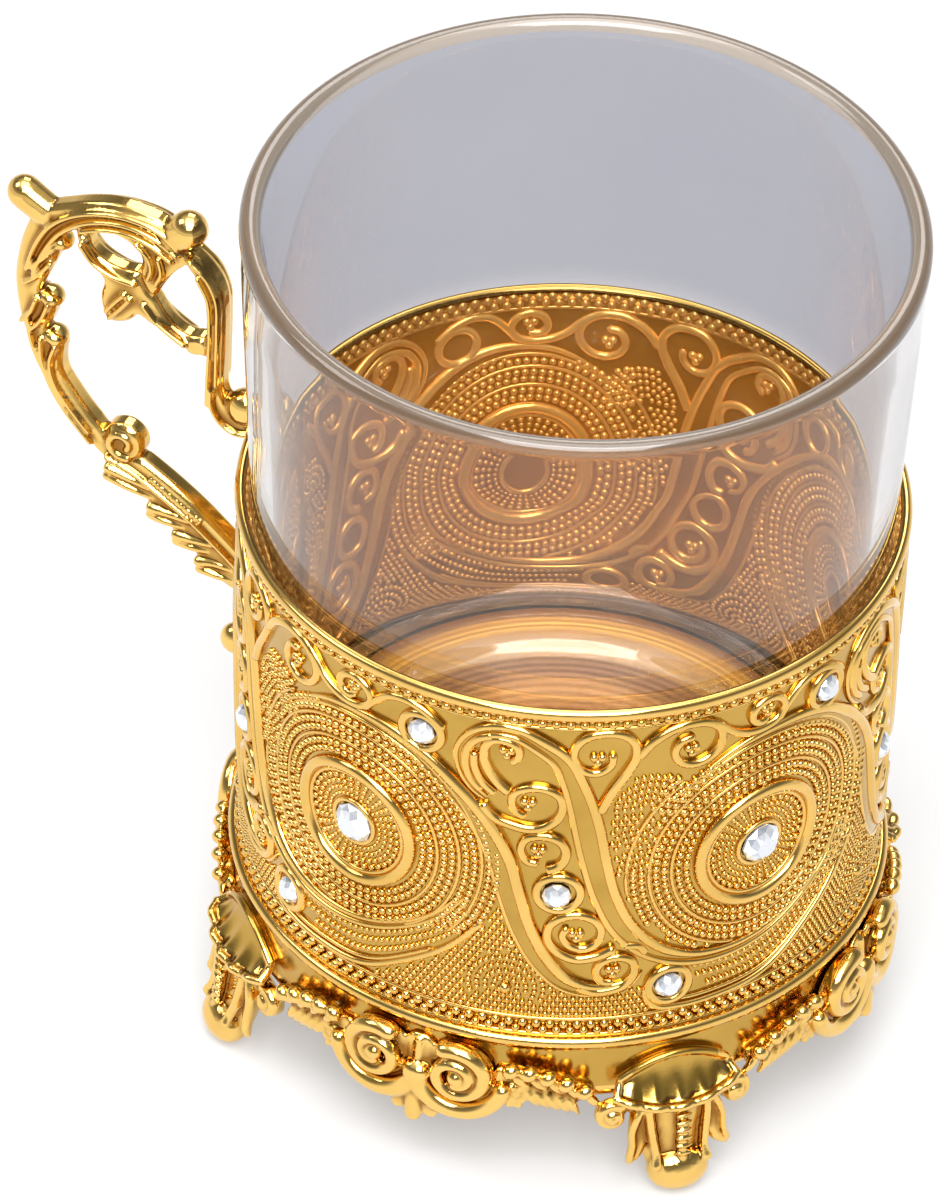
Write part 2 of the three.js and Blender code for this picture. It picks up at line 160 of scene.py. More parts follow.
class HolderColours(bpy.types.PropertyGroup):
    """Colours of the finishes."""

    gilt: FloatVectorProperty(
        name="Gilt", description="Polished gilt",
        subtype="COLOR", default=(0.79, 0.505, 0.145))
    gilt_deep: FloatVectorProperty(
        name="Deep gilt", description="Gilt where it has toned",
        subtype="COLOR", default=(0.58, 0.335, 0.06))
    # The ground is darker than the polished gilt: partly toning, partly painted shade
    ground: FloatVectorProperty(
        name="Ground", description="Toned gilt of the sleeve's plain ground",
        subtype="COLOR", default=(0.53, 0.325, 0.07))
    ground_deep: FloatVectorProperty(
        name="Deep ground", description="Ground where it has toned most",
        subtype="COLOR", default=(0.4, 0.23, 0.04))
    # The glass colour is painted grey shade: the shaded backdrop seen through the back wall
    glass: FloatVectorProperty(
        name="Glass", description="Tint of one wall of the tumbler",
        subtype="COLOR", default=(0.4, 0.41, 0.465))
    stone: FloatVectorProperty(
        name="Stone", description="Foiled stones",
        subtype="COLOR", default=(0.86, 0.89, 0.94))
    floor: FloatVectorProperty(
        name="Floor", description="Table under the holder",
        subtype="COLOR", default=(0.72, 0.72, 0.72))


# Meshes


def make_piece(name, verts, faces, material, smooth=True):
    """An object from points in mm, given from the cup's axis and the floor."""
    points = np.asarray(verts, float) + (AXIS_X, 0, 0)
    mesh = bpy.data.meshes.new(name)
    mesh.from_pydata((points * MM).tolist(), [], [list(map(int, face)) for face in faces])
    mesh.materials.append(material)
    if smooth:
        mesh.shade_smooth()
    mesh.update()
    piece = bpy.data.objects.new(name, mesh)
    bpy.context.scene.collection.objects.link(piece)
    return piece


def second_finish(piece, material, chosen):
    """Gives a second finish to the chosen faces, from a yes or no for each face."""
    piece.data.materials.append(material)
    piece.data.polygons.foreach_set("material_index", np.asarray(chosen, np.int32))


def plain_mesh(shape):
    """The mesh that an object's modifiers give."""
    depsgraph = bpy.context.evaluated_depsgraph_get()
    return bpy.data.meshes.new_from_object(shape.evaluated_get(depsgraph), depsgraph=depsgraph)


def settle(piece, nodes, body="holder"):
    """Puts a finished piece in the place of its CAD nodes."""
    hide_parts(*nodes)
    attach(piece, body)


def arc(centre, radius, start, end, steps):
    """Points of an arc in the plane, with its angles in degrees."""
    turn = np.radians(np.linspace(start, end, steps))
    return np.stack([centre[0] + radius * np.cos(turn), centre[1] + radius * np.sin(turn)], axis=1)


def turned(profile, steps):
    """Skin of revolution about the axis. A profile that starts off the axis is closed on itself."""
    profile = np.asarray(profile, float)
    turn = np.linspace(0, 2 * np.pi, steps, endpoint=False)
    verts = []
    rings = []
    for radius, height in profile:
        first = len(verts)
        if radius < 1e-6:
            verts.append((0, 0, height))
            rings.append([first] * steps)
        else:
            verts.extend(zip(radius * np.cos(turn), radius * np.sin(turn), [height] * steps))
            rings.append(list(range(first, first + steps)))
    pairs = list(zip(rings, rings[1:]))
    if profile[0][0] > 1e-6:
        pairs.append((rings[-1], rings[0]))
    faces = []
    for low, high in pairs:
        for k in range(steps):
            j = (k + 1) % steps
            corners = [low[k], low[j], high[j], high[k]]
            faces.append(list(dict.fromkeys(corners)))
    return np.array(verts), faces


def turned_piece(name, profile, material):
    """A round piece from its profile of (radius, height)."""
    verts, faces = turned(profile, bpy.context.scene.holder_sizes.facets)
    return make_piece(name, verts, faces, material)


def spline(points, count):
    """A smooth line through points, with any further columns eased along with it."""
    points = np.asarray(points, float)
    step = np.linalg.norm(np.diff(points[:, :2], axis=0), axis=1)
    knots = np.concatenate([[0], np.cumsum(np.maximum(step, 1e-3))])
    slopes = np.gradient(points, knots, axis=0)
    where = np.linspace(0, knots[-1], count)
    at = np.clip(np.searchsorted(knots, where, side="right") - 1, 0, len(knots) - 2)
    width = knots[at + 1] - knots[at]
    t = ((where - knots[at]) / width)[:, None]
    p, q = points[at], points[at + 1]
    m, n = slopes[at] * width[:, None], slopes[at + 1] * width[:, None]
    leaving = (2 * t**3 - 3 * t**2 + 1) * p + (t**3 - 2 * t**2 + t) * m
    return leaving + (3 * t**2 - 2 * t**3) * q + (t**3 - t**2) * n


def spiral(centre, start_radius, end_radius, start, turns, steps=40):
    """Points of a flat spiral. Turns count anticlockwise, and start is its first angle in degrees."""
    share = np.linspace(0, 1, steps)
    radius = start_radius + (end_radius - start_radius) * share**0.85
    angle = np.radians(start) + 2 * np.pi * turns * share
    return np.stack([centre[0] + radius * np.cos(angle), centre[1] + radius * np.sin(angle)], axis=1)


# Relief of the sleeve, in flat coordinates of one panel

STONE_ACROSS = 23.15
STONE_UP = 23.0
LARGE_STONE = (STONE_ACROSS, STONE_UP)
SETTING_RADIUS = 2.75
DISH_RADIUS = 6.5
DISH_RAYS = 34
DISH_ROWS = ((3.5, 0.24), (4.28, 0.29), (5.06, 0.34), (5.84, 0.39))
ROLL_RADIUS = 7.45
ROLL_WIDTH = 0.78
RING_WIRES = (10.75, 13.3, 15.85)
RING_BEADS = (9.0, 9.95, 11.55, 12.5, 14.1, 15.05, 16.65, 17.6)
SWIRL_EDGE = (10.6, 23.5)
BEAD_PITCH = 1.02
FINE_PITCH = 0.8
LEFT_RIBBON = [
    (-34.4, 33.7, 0.25), (-31.4, 36.1, 0.4), (-27.6, 38.1, 0.6), (-23.5, 38.8, 0.8), (-19.8, 38.5, 1.0),
    (-16.2, 37.2, 1.15), (-12.5, 34.3, 1.3), (-9.9, 31.5, 1.4), (-8.2, 29, 1.5), (-6.3, 25, 1.65),
    (-5, 20, 1.65), (-3.5, 15, 1.5), (-0.9, 10, 1.35), (0.9, 8, 1.2), (3, 6.9, 1.0), (5.5, 6.6, 0.8),
    (8, 7.2, 0.6), (9.5, 8.9, 0.4),
]
RIGHT_RIBBON = [
    (-8.3, 33.3, 0.35), (-9.8, 34.6, 0.45), (-11.1, 36.9, 0.5), (-11.3, 39.4, 0.6), (-9.9, 41.9, 0.7),
    (-7.7, 43.2, 0.85), (-5.2, 43.3, 0.95), (-2.7, 42, 1.1), (0, 39.6, 1.3), (1.1, 37, 1.45),
    (2.2, 33.5, 1.7), (3, 30, 1.85), (4, 25, 1.75), (5.3, 20, 1.6), (7.6, 15, 1.5), (10.6, 11.8, 1.25),
    (14.5, 9.7, 0.9), (20, 8.9, 0.7), (25, 9.6, 0.6), (30, 11.8, 0.5), (34.5, 15.2, 0.45),
    (37, 18.5, 0.35),
]

# Wires along the edges of the ribbons: share of the ribbon's half width, and half width in thin wires
LEFT_EDGES = ((0.56, 1.9), (-0.9, 0.65))
RIGHT_EDGES = ((0.64, 1.6), (-0.8, 1.1))

# Free wires, as points of (across, up)
LOW_WIRE = [
    (10.2, 6.4), (10.3, 4.6), (11.6, 3.2), (14, 2.75), (18.3, 2.7), (25, 3.5), (30.75, 6.9),
    (35.75, 10.9), (39.2, 15.2),
]
LOW_WIRE_STEP = (0.35, 0.95)
ARCH_WIRES = [
    [(15.4, 43.6), (17.0, 42.6), (18.4, 41.2), (20.2, 40.2), (22.5, 39.9), (24.4, 40.4), (25.3, 41.8),
     (24.6, 43.2), (22.9, 43.8), (21.4, 43.1), (21.0, 41.8), (21.8, 40.9), (23.2, 41.1)],
    [(24.4, 40.1), (25.8, 41.9), (27.9, 43.7), (29.8, 44), (32.2, 43.2), (34.3, 41.6)],
    [(-8.7, 34.4), (-10.2, 36.2), (-10.6, 38.5), (-10.2, 40.4), (-9.2, 41.7), (-7.6, 42.5)],
    [(-7.2, 34.3), (-8.7, 35.7), (-9.6, 37.8), (-9.7, 39.6)],
    [(9.9, 11.6), (9.2, 12.6), (7.6, 12.9)],
]
CURLS = [
    [(-8.7, 32.6), (-7.3, 31), (-5.3, 30.2), (-3.3, 29.9), (-1.6, 30.4), (-0.3, 31.7), (0.1, 33.3),
     (-0.4, 34.9), (-2.1, 35.8), (-3.8, 35.6), (-5, 34.8), (-5.4, 33.3), (-4.9, 32.2), (-3.8, 31.6)],
    [(6.6, 12.7), (4.6, 11.7), (2.4, 11.3), (0.4, 12.2), (-0.9, 14.1), (-0.7, 16.1), (0.7, 17.4),
     (2.4, 17.7), (4.1, 16.9), (4.9, 15.3), (4.5, 13.6), (3.1, 12.8), (1.4, 13.3), (0.7, 14.6),
     (1.2, 15.9)],
    [(2.6, 7.3), (4.2, 6.5), (6, 6.5), (7.7, 7.1), (8.8, 8.9), (8.4, 10.6), (6.9, 11.3), (5.2, 10.7),
     (4.6, 9.3), (5.2, 7.9), (6.6, 7.7)],
    [(-5.7, 34.8), (-6.9, 35.9), (-8.0, 37.5), (-8.6, 39.3), (-8.4, 40.9), (-7.5, 41.9), (-6.2, 42),
     (-5, 41.3), (-4.8, 40), (-5.6, 39)],
    [(4.1, 32.6), (5.4, 35.7), (6.9, 38.3), (7.7, 40.3), (7.5, 42.2), (6.1, 43.6), (4.1, 43.9),
     (2.4, 43.4), (1.2, 41.9), (1.1, 40.1), (2.1, 38.6), (3.8, 38.3), (5.1, 39.4), (5.2, 40.9)],
    [(7.9, 40.2), (9.5, 42.2), (12.9, 43.8), (15.6, 43.4), (17.1, 42), (17.3, 40.2), (16.2, 38.5),
     (14.2, 37.9), (12.6, 38.6), (12, 40.1), (12.7, 41.5), (14.2, 41.8)],
    [(-1.4, 24.1), (0.1, 24.9), (0.7, 26.6), (-0.1, 28.4), (-1.8, 29), (-3.6, 28.4), (-4.2, 26.8),
     (-3.5, 25.2), (-2.2, 24.9)],
]
CURL_EYES = [
    (-3.6, 33.4), (2.2, 14.7), (6.4, 9.3), (-6.1, 40.4), (3.6, 40.2), (13.9, 40), (-2.3, 26.7),
    (23, 42.3),
]
COLLARS = [((0.05, 20.8), 2.4), ((12.87, 6.2), 2.35), ((-15.73, 40.4), 2.35)]
EGG = [
    (5.2, 31), (6.3, 35.2), (8.6, 37.4), (11.5, 37.4), (13.6, 35.2), (16.3, 36.6), (20, 37.6), (27, 37.6),
    (31, 37), (35, 34.5), (38, 31), (40.6, 26), (42, 21), (42.6, 17), (41, 15), (36.5, 13), (33, 12),
    (29, 11.5), (25, 10.4), (20, 9.9), (15.4, 10.8), (12.1, 12.9), (9.4, 16.3), (7.3, 20.5), (5.9, 25),
]
FAN_GROUND = [
    (-5, 17), (-3, 12), (-1.2, 8.7), (2, 6.4), (6, 6), (10, 6.4), (11, 3), (-21, 3), (-17, 5.5),
    (-12, 9.5), (-8.4, 14),
]
FAN_EYE = (-5.3, 6.4)
DROP_EYE = (-4.8, 12.9)
PETAL_REACH = 0.5
PETAL_RADIUS = 0.55
PETAL_ANGLES = (0.5, 2.6, 4.7)

# Fans of fine beads: middle, first and last angle, steps, ground, and the radius and offset of each arc
FANS = [
    ((7.9, 26.4), -150, 140, 60, EGG, ((0.1, 0), (1.0, 0), (1.9, 0), (2.8, 0))),
    ((9.3, 32.6), -20, 200, 60, EGG, ((0.7, 0), (1.6, 0), (2.5, 0), (3.4, 0), (4.3, 0))),
    (FAN_EYE, -20, 200, 120, FAN_GROUND, ((1.35, 0), (2.3, FINE_PITCH / 2), (3.25, 0), (4.2, 0))),
]

# Fine beads between the low wire and the right ribbon: share of the way down, and offset
LOW_ROWS = ((0.25, FINE_PITCH / 2), (0.5, 0), (0.75, FINE_PITCH / 2))

# The even grid of beads that fills the grounds
FILL_PITCH = 0.86
FILL_ROW = 0.87
FILL_ACROSS = (-24, 42)
FILL_UP = (3, 37.6)
FILL_BARE = 8.4
BEAD_GAP = 0.7
WIRE_GAP = 0.2


def inside(points, outline):
    """Which points lie inside a closed outline."""
    x, y = np.asarray(points, float).T[:2]
    hit = np.zeros(len(x), bool)
    for (x0, y0), (x1, y1) in zip(outline, outline[1:] + outline[:1]):
        crosses = (y0 > y) != (y1 > y)
        rise = y1 - y0 if y1 != y0 else 1e-9
        hit ^= crosses & (x < (x1 - x0) * (y - y0) / rise + x0)
    return hit


def along(line, spacing, offset=0.0):
    """Points at an even spacing along a line."""
    line = np.asarray(line, float)[:, :2]
    walked = np.concatenate([[0], np.cumsum(np.linalg.norm(np.diff(line, axis=0), axis=1))])
    stops = np.arange(offset, walked[-1], spacing)
    return np.stack([np.interp(stops, walked, line[:, k]) for k in (0, 1)], axis=1)


def sized(points, radius):
    """Flat points with one half width or radius for all."""
    return np.column_stack([points, np.full(len(points), radius)])


def ribbon_edge(ribbon, share, width):
    """The wire along one edge of a ribbon."""
    ahead = np.gradient(ribbon[:, :2], axis=0)
    ahead /= np.linalg.norm(ahead, axis=1)[:, None]
    aside = np.column_stack([-ahead[:, 1], ahead[:, 0]])
    line = ribbon[:, :2] + aside * ribbon[:, 2:] * share
    return np.column_stack([line, np.minimum(width, ribbon[:, 2] * 0.6)])


def panel_lines():
    """Ribbons, wires and stone collars of one panel, as lines of (across, up, half width)."""
    wire = size_mm("wire")
    left, right = spline(LEFT_RIBBON, 90), spline(RIGHT_RIBBON, 120)
    wires = [sized(spline(line, 40), wire * 1.3) for line in ARCH_WIRES]
    for ribbon, edges in ((left, LEFT_EDGES), (right, RIGHT_EDGES)):
        wires += [ribbon_edge(ribbon, share, wire * width) for share, width in edges]
    low = spline(LOW_WIRE, 80)
    wires.append(sized(low, wire))
    wires.append(sized(low + LOW_WIRE_STEP, wire * 0.6)[10:60])
    for curl in CURLS:
        line = spline(curl, 6 * len(curl) + 12)
        wires.append(np.column_stack([line, np.linspace(wire * 1.6, wire * 1.2, len(line))]))
    circles = (
        (SETTING_RADIUS, 41, wire * 0.75), (DISH_RADIUS, 65, wire * 0.7), (ROLL_RADIUS, 81, ROLL_WIDTH))
    wires += [sized(arc(LARGE_STONE, radius, 0, 360, steps), width) for radius, steps, width in circles]
    for radius in RING_WIRES:
        wires.extend(clipped(arc(LARGE_STONE, radius, -180, 180, 161), EGG, wire * 0.55))
    collars = [sized(arc(centre, radius, 0, 360, 33), wire * 1.35) for centre, radius in COLLARS]
    return [left, right], wires, collars


def clipped(line, outline, width):
    """The stretches of a line that lie inside an outline."""
    kept = inside(line, outline)
    stretches = []
    start = None
    for i, now in enumerate(list(kept) + [False]):
        if now and start is None:
            start = i
        if not now and start is not None:
            if i - start > 3:
                stretches.append(sized(line[start:i], width))
            start = None
    return stretches


def dish_beads():
    """Rays of beads in the large stone's dish, which grow outwards."""
    beads = []
    for ray in range(DISH_RAYS):
        turn = math.radians(360 * ray / DISH_RAYS)
        for reach, radius in DISH_ROWS:
            across = STONE_ACROSS + reach * math.cos(turn)
            up = STONE_UP + reach * math.sin(turn)
            beads.append((across, up, radius))
    return beads


def petal_beads():
    """Three petals in the eye of each curl, and two single drops."""
    petals = []
    for x, y in CURL_EYES:
        for turn in PETAL_ANGLES:
            across, up = x + PETAL_REACH * math.cos(turn), y + PETAL_REACH * math.sin(turn)
            petals.append((across, up, PETAL_RADIUS))
    petals.append((*FAN_EYE, 0.75))
    petals.append((*DROP_EYE, 0.6))
    return petals


def ring_beads():
    """Double rows of beads round the large stone, clear of the swirl beside it."""
    bead = size_mm("bead")
    rows = []
    for number, radius in enumerate(RING_BEADS):
        offset = BEAD_PITCH / 2 * (number % 2)
        ring = along(arc(LARGE_STONE, radius, -180, 180, 200), BEAD_PITCH, offset)
        swirl = (ring[:, 0] < SWIRL_EDGE[0]) & (ring[:, 1] > SWIRL_EDGE[1])
        rows.append(sized(ring[inside(ring, EGG) & ~swirl], bead))
    return np.concatenate(rows)


def fine_beads():
    """Arcs of fine beads in the fans, and rows of them over the low wire."""
    bead = size_mm("fine_bead")
    rows = []
    for centre, start, end, steps, ground, arcs in FANS:
        for radius, offset in arcs:
            ring = along(arc(centre, radius, start, end, steps), FINE_PITCH, offset)
            rows.append(sized(ring[inside(ring, ground)], bead))
    upper = spline(np.array(RIGHT_RIBBON)[16:, :2], 60)
    lower = spline(LOW_WIRE[4:], 60) + (0, 0.5)
    for share, offset in LOW_ROWS:
        line = upper * (1 - share) + lower * share
        rows.append(sized(along(line, FINE_PITCH, offset), bead))
    return np.concatenate(rows)


def panel_beads():
    """Beads of one panel by group, as points of (across, up, radius)."""
    rows, fine = ring_beads(), fine_beads()
    fill = sized(filled(np.concatenate([rows, fine])), size_mm("fine_bead"))
    return {
        "dish": np.concatenate([dish_beads(), petal_beads()]),
        "rows": rows,
        "fine": np.concatenate([fine, fill]),
    }


def filled(taken):
    """Spots on an even grid in the grounds, clear of the beads, wires and ribbons already there."""
    spots = []
    for row, y in enumerate(np.arange(*FILL_UP, FILL_PITCH * FILL_ROW)):
        first = FILL_ACROSS[0] + FILL_PITCH / 2 * (row % 2)
        spots += [(x, y) for x in np.arange(first, FILL_ACROSS[1], FILL_PITCH)]
    spots = np.array(spots)
    bare = np.hypot(*(spots - LARGE_STONE).T) < FILL_BARE
    spots = spots[(inside(spots, EGG) | inside(spots, FAN_GROUND)) & ~bare]
    shifts = (-PANEL_PITCH, 0, PANEL_PITCH)
    beads = np.concatenate([taken * (1, 1, 0) + (shift, 0, 0) for shift in shifts])
    lines = np.concatenate(sum(panel_lines(), []))
    lines = np.concatenate([lines + (shift, 0, 0) for shift in shifts])
    for others, gap in ((beads, BEAD_GAP), (lines, WIRE_GAP)):
        apart = np.linalg.norm(spots[:, None] - others[None, :, :2], axis=2) - others[:, 2]
        spots = spots[apart.min(axis=1) > gap]
    return spots


def seam_limits():
    """Ends of the rolled sheet's pattern, in flat coordinates from azimuth 0."""
    low = SEAM_AZIMUTH / DEGREES_PER_MM + SEAM_MARGIN
    high = (SEAM_AZIMUTH + 360) / DEGREES_PER_MM - SEAM_MARGIN
    return low, high


def repeated(lines):
    """Lines of one panel, repeated round the sleeve and cut at the seam."""
    low, high = seam_limits()
    out = []
    for panel in range(-3, 5):
        shift = PANEL_AZIMUTH / DEGREES_PER_MM - STONE_ACROSS + panel * PANEL_PITCH
        for line in lines:
            moved = line + (shift, 0, 0)
            kept = moved[(moved[:, 0] > low) & (moved[:, 0] < high)]
            if len(kept) > 2:
                out.append(kept)
    return out


# Geometry Nodes


def new_tree(name, sockets):
    """An empty tree with a geometry in and out and further named inputs."""
    tree = bpy.data.node_groups.new(name, "GeometryNodeTree")
    tree.is_modifier = True
    tree.interface.new_socket("Geometry", in_out="INPUT", socket_type="NodeSocketGeometry")
    for label, kind, value in sockets:
        socket = tree.interface.new_socket(label, in_out="INPUT", socket_type=kind)
        if value is not None:
            socket.default_value = value
    tree.interface.new_socket("Geometry", in_out="OUTPUT", socket_type="NodeSocketGeometry")
    return tree, tree.nodes.new("NodeGroupInput"), tree.nodes.new("NodeGroupOutput")


def feed(tree, fed, values):
    """Sets inputs of a node, each from a value or from another node's socket."""
    for key, value in values.items():
        if isinstance(value, bpy.types.NodeSocket):
            tree.links.new(value, fed.inputs[key])
        else:
            fed.inputs[key].default_value = value


def node(tree, kind, values=None, **settings):
    """A new node with its settings and some of its inputs."""
    made = tree.nodes.new(kind)
    for key, value in settings.items():
        setattr(made, key, value)
    feed(tree, made, values or {})
    return made


def maths(tree, operation, *values):
    """The result of a Math node."""
    made = node(tree, "ShaderNodeMath", dict(enumerate(values)), operation=operation)
    return made.outputs[0]


def flat_place(tree):
    """Across, up and out of each point."""
    place = node(tree, "GeometryNodeInputPosition").outputs[0]
    return node(tree, "ShaderNodeSeparateXYZ", {0: place}).outputs


FLOAT = "NodeSocketFloat"
COLOUR = "NodeSocketColor"
RELIEF_SOCKETS = [("Rise", FLOAT, 1.0), ("Depth", FLOAT, 0.2), ("Material", "NodeSocketMaterial", None)]


def wrap_group():
    """Rolls flat relief round the sleeve's cone."""
    sockets = [
        ("Foot Radius", FLOAT, FOOT_RADIUS), ("Top Radius", FLOAT, TOP_RADIUS),
        ("Height", FLOAT, SLEEVE_HEIGHT), ("Foot Height", FLOAT, SLEEVE_FOOT), ("Axis", FLOAT, AXIS_X),
    ]
    tree, start, end = new_tree("Wrap On Sleeve", sockets)
    given = start.outputs
    place = flat_place(tree)
    widening = maths(tree, "SUBTRACT", given["Top Radius"], given["Foot Radius"])
    slope = maths(tree, "DIVIDE", widening, given["Height"])
    wall = maths(tree, "MULTIPLY_ADD", place[1], slope, given["Foot Radius"])
    radius = maths(tree, "ADD", wall, place[2])
    turn = maths(tree, "DIVIDE", place[0], MEAN_RADIUS)
    x = maths(tree, "MULTIPLY_ADD", radius, maths(tree, "SINE", turn), given["Axis"])
    y = maths(tree, "MULTIPLY", radius, maths(tree, "MULTIPLY", maths(tree, "COSINE", turn), -1.0))
    z = maths(tree, "ADD", place[1], given["Foot Height"])
    spot = node(tree, "ShaderNodeCombineXYZ", {0: x, 1: y, 2: z}).outputs[0]
    metres = node(tree, "ShaderNodeVectorMath", {0: spot, 3: MM}, operation="SCALE").outputs[0]
    moved = node(tree, "GeometryNodeSetPosition", {"Geometry": given["Geometry"], "Position": metres})
    tree.links.new(moved.outputs[0], end.inputs[0])
    return tree


def finish_tree(tree, geometry, material, end, wrap):
    """Rolls the flat geometry onto the sleeve and ends the tree."""
    real = node(tree, "GeometryNodeRealizeInstances", {"Geometry": geometry})
    wrapped = node(tree, "GeometryNodeGroup", {0: real.outputs[0]}, node_tree=wrap)
    smooth = node(tree, "GeometryNodeSetShadeSmooth", {"Geometry": wrapped.outputs[0]})
    painted = node(tree, "GeometryNodeSetMaterial", {"Geometry": smooth.outputs[0], "Material": material})
    tree.links.new(painted.outputs[0], end.inputs[0])


def wire_tree(wrap):
    """Sweeps an oval section along flat lines and rolls them onto the sleeve."""
    tree, start, end = new_tree("Relief Wires", RELIEF_SOCKETS)
    given = start.outputs
    lines = node(tree, "GeometryNodeMeshToCurve", {"Mesh": given["Geometry"]})
    width = node(tree, "GeometryNodeInputNamedAttribute", {"Name": "width"}, data_type="FLOAT")
    upright = node(tree, "GeometryNodeSetCurveNormal", {"Curve": lines.outputs[0]}, mode="Z_UP")
    section = node(tree, "GeometryNodeCurvePrimitiveCircle", {"Resolution": 8, "Radius": 1.0})
    swept = node(tree, "GeometryNodeCurveToMesh", {
        "Curve": upright.outputs[0], "Profile Curve": section.outputs[0], "Scale": width.outputs[0],
        "Fill Caps": True})
    place = flat_place(tree)
    height = maths(tree, "SUBTRACT", maths(tree, "MULTIPLY", place[2], given["Rise"]), given["Depth"])
    spot = node(tree, "ShaderNodeCombineXYZ", {0: place[0], 1: place[1], 2: height}).outputs[0]
    pressed = node(tree, "GeometryNodeSetPosition", {"Geometry": swept.outputs[0], "Position": spot})
    finish_tree(tree, pressed.outputs[0], given["Material"], end, wrap)
    return tree


def bead_tree(wrap):
    """Sets a bead on each flat point and rolls them onto the sleeve."""
    tree, start, end = new_tree("Relief Beads", RELIEF_SOCKETS)
    given = start.outputs
    bead = node(tree, "GeometryNodeMeshUVSphere", {"Segments": 8, "Rings": 4, "Radius": 1.0})
    size = node(tree, "GeometryNodeInputNamedAttribute", {"Name": "width"}, data_type="FLOAT").outputs[0]
    height = maths(tree, "MULTIPLY", size, given["Rise"])
    scale = node(tree, "ShaderNodeCombineXYZ", {0: size, 1: size, 2: height}).outputs[0]
    beads = node(tree, "GeometryNodeInstanceOnPoints", {
        "Points": given["Geometry"], "Instance": bead.outputs["Mesh"], "Scale": scale})
    real = node(tree, "GeometryNodeRealizeInstances", {"Geometry": beads.outputs[0]})
    sunk = node(tree, "ShaderNodeCombineXYZ", {2: maths(tree, "MULTIPLY", given["Depth"], -1.0)})
    lowered = node(tree, "GeometryNodeSetPosition", {
        "Geometry": real.outputs[0], "Offset": sunk.outputs[0]})
    finish_tree(tree, lowered.outputs[0], given["Material"], end, wrap)
    return tree


WIRE_END = 0.4


def grown(name, points, edges, widths, tree, values):
    """A plain mesh object from flat points or lines, made by a tree."""
    mesh = bpy.data.meshes.new(name + "_flat")
    mesh.from_pydata(points, edges, [])
    width = mesh.attributes.new("width", "FLOAT", "POINT")
    width.data.foreach_set("value", np.asarray(widths, np.float32))
    flat = bpy.data.objects.new(name + "_flat", mesh)
    modifier = flat.modifiers.new("Relief", "NODES")
    modifier.node_group = tree
    for socket in tree.interface.items_tree:
        if socket.in_out == "INPUT" and socket.name in values:
            modifier[socket.identifier] = values[socket.name]
    bpy.context.scene.collection.objects.link(flat)
    result = plain_mesh(flat)
    bpy.data.objects.remove(flat)
    bpy.data.meshes.remove(mesh)
    if len(result.polygons) == 0:
        raise RuntimeError(f"{name} came out empty")
    result.name = name
    piece = bpy.data.objects.new(name, result)
    bpy.context.scene.collection.objects.link(piece)
    return piece


def grown_lines(name, lines, tree, values):
    """A mesh object from lines of (across, up, half width). Open lines narrow at their ends."""
    points = []
    edges = []
    widths = []
    for line in lines:
        first = len(points)
        closed = len(line) > 3 and np.linalg.norm(line[0, :2] - line[-1, :2]) < 1e-6
        if closed:
            line = line[:-1]
        points.extend((x, y, 0) for x, y, _ in line)
        ends = np.ones(len(line))
        if not closed:
            ends[[0, -1]] = WIRE_END
        widths.extend(line[:, 2] * ends)
        edges.extend((first + i, first + i + 1) for i in range(len(line) - 1))
        if closed:
            edges.append((first + len(line) - 1, first))
    return grown(name, points, edges, widths, tree, values)


def grown_beads(name, beads, tree, values):
    """A mesh object from beads of (across, up, radius)."""
    return grown(name, [(x, y, 0) for x, y, _ in beads], [], beads[:, 2], tree, values)


# Finishes


def shader_group(name, inputs, outputs):
    """An empty shader group with named inputs and outputs."""
    tree = bpy.data.node_groups.new(name, "ShaderNodeTree")
    for label, kind, value in inputs:
        tree.interface.new_socket(label, in_out="INPUT", socket_type=kind).default_value = value
    for label, kind in outputs:
        tree.interface.new_socket(label, in_out="OUTPUT", socket_type=kind)
    return tree, tree.nodes.new("NodeGroupInput"), tree.nodes.new("NodeGroupOutput")


def mixed_colour(tree, factor, first, second):
    """A colour between two, each a socket or red, green and blue."""
    ends = [end if isinstance(end, bpy.types.NodeSocket) else (*end, 1) for end in (first, second)]
    mixed = node(tree, "ShaderNodeMix", {"Factor": factor, 6: ends[0], 7: ends[1]}, data_type="RGBA")
    return mixed.outputs[2]


def gilt_tone_group():
    """Toning of gilt metal: cloudy colour, uneven polish and a faint skin texture."""
    if "Gilt Tone" in bpy.data.node_groups:
        return bpy.data.node_groups["Gilt Tone"]
    tree, start, end = shader_group(
        "Gilt Tone",
        [("Bright", COLOUR, (1, 1, 1, 1)), ("Deep", COLOUR, (0, 0, 0, 1)),
         ("Cloud Scale", FLOAT, 120.0), ("Polish", FLOAT, 0.12)],
        [("Color", COLOUR), ("Roughness", FLOAT), ("Height", FLOAT)])
    given = start.outputs
    spot = node(tree, "ShaderNodeTexCoord").outputs["Object"]
    cloud = node(tree, "ShaderNodeTexNoise", {
        "Vector": spot, "Scale": given["Cloud Scale"], "Detail": 4.0})
    share = node(tree, "ShaderNodeMapRange", {
        "Value": cloud.outputs[0], "From Min": 0.42, "From Max": 0.72, "To Min": 0.0, "To Max": 0.55})
    tone = mixed_colour(tree, share.outputs[0], given["Bright"], given["Deep"])
    fine = node(tree, "ShaderNodeTexNoise", {"Vector": spot, "Scale": 900.0, "Detail": 3.0})
    uneven = maths(tree, "MULTIPLY_ADD", fine.outputs[0], 0.1, given["Polish"])
    skin = node(tree, "ShaderNodeTexNoise", {"Vector": spot, "Scale": 1600.0, "Detail": 2.0})
    feed(tree, end, {"Color": tone, "Roughness": uneven, "Height": skin.outputs[0]})
    return tree


def new_material(name):
    """An empty material with its tree and its shader."""
    material = bpy.data.materials.new(name)
    material.use_nodes = True
    tree = material.node_tree
    return material, tree, tree.nodes["Principled BSDF"]


SKIN_DEPTH = 0.0002


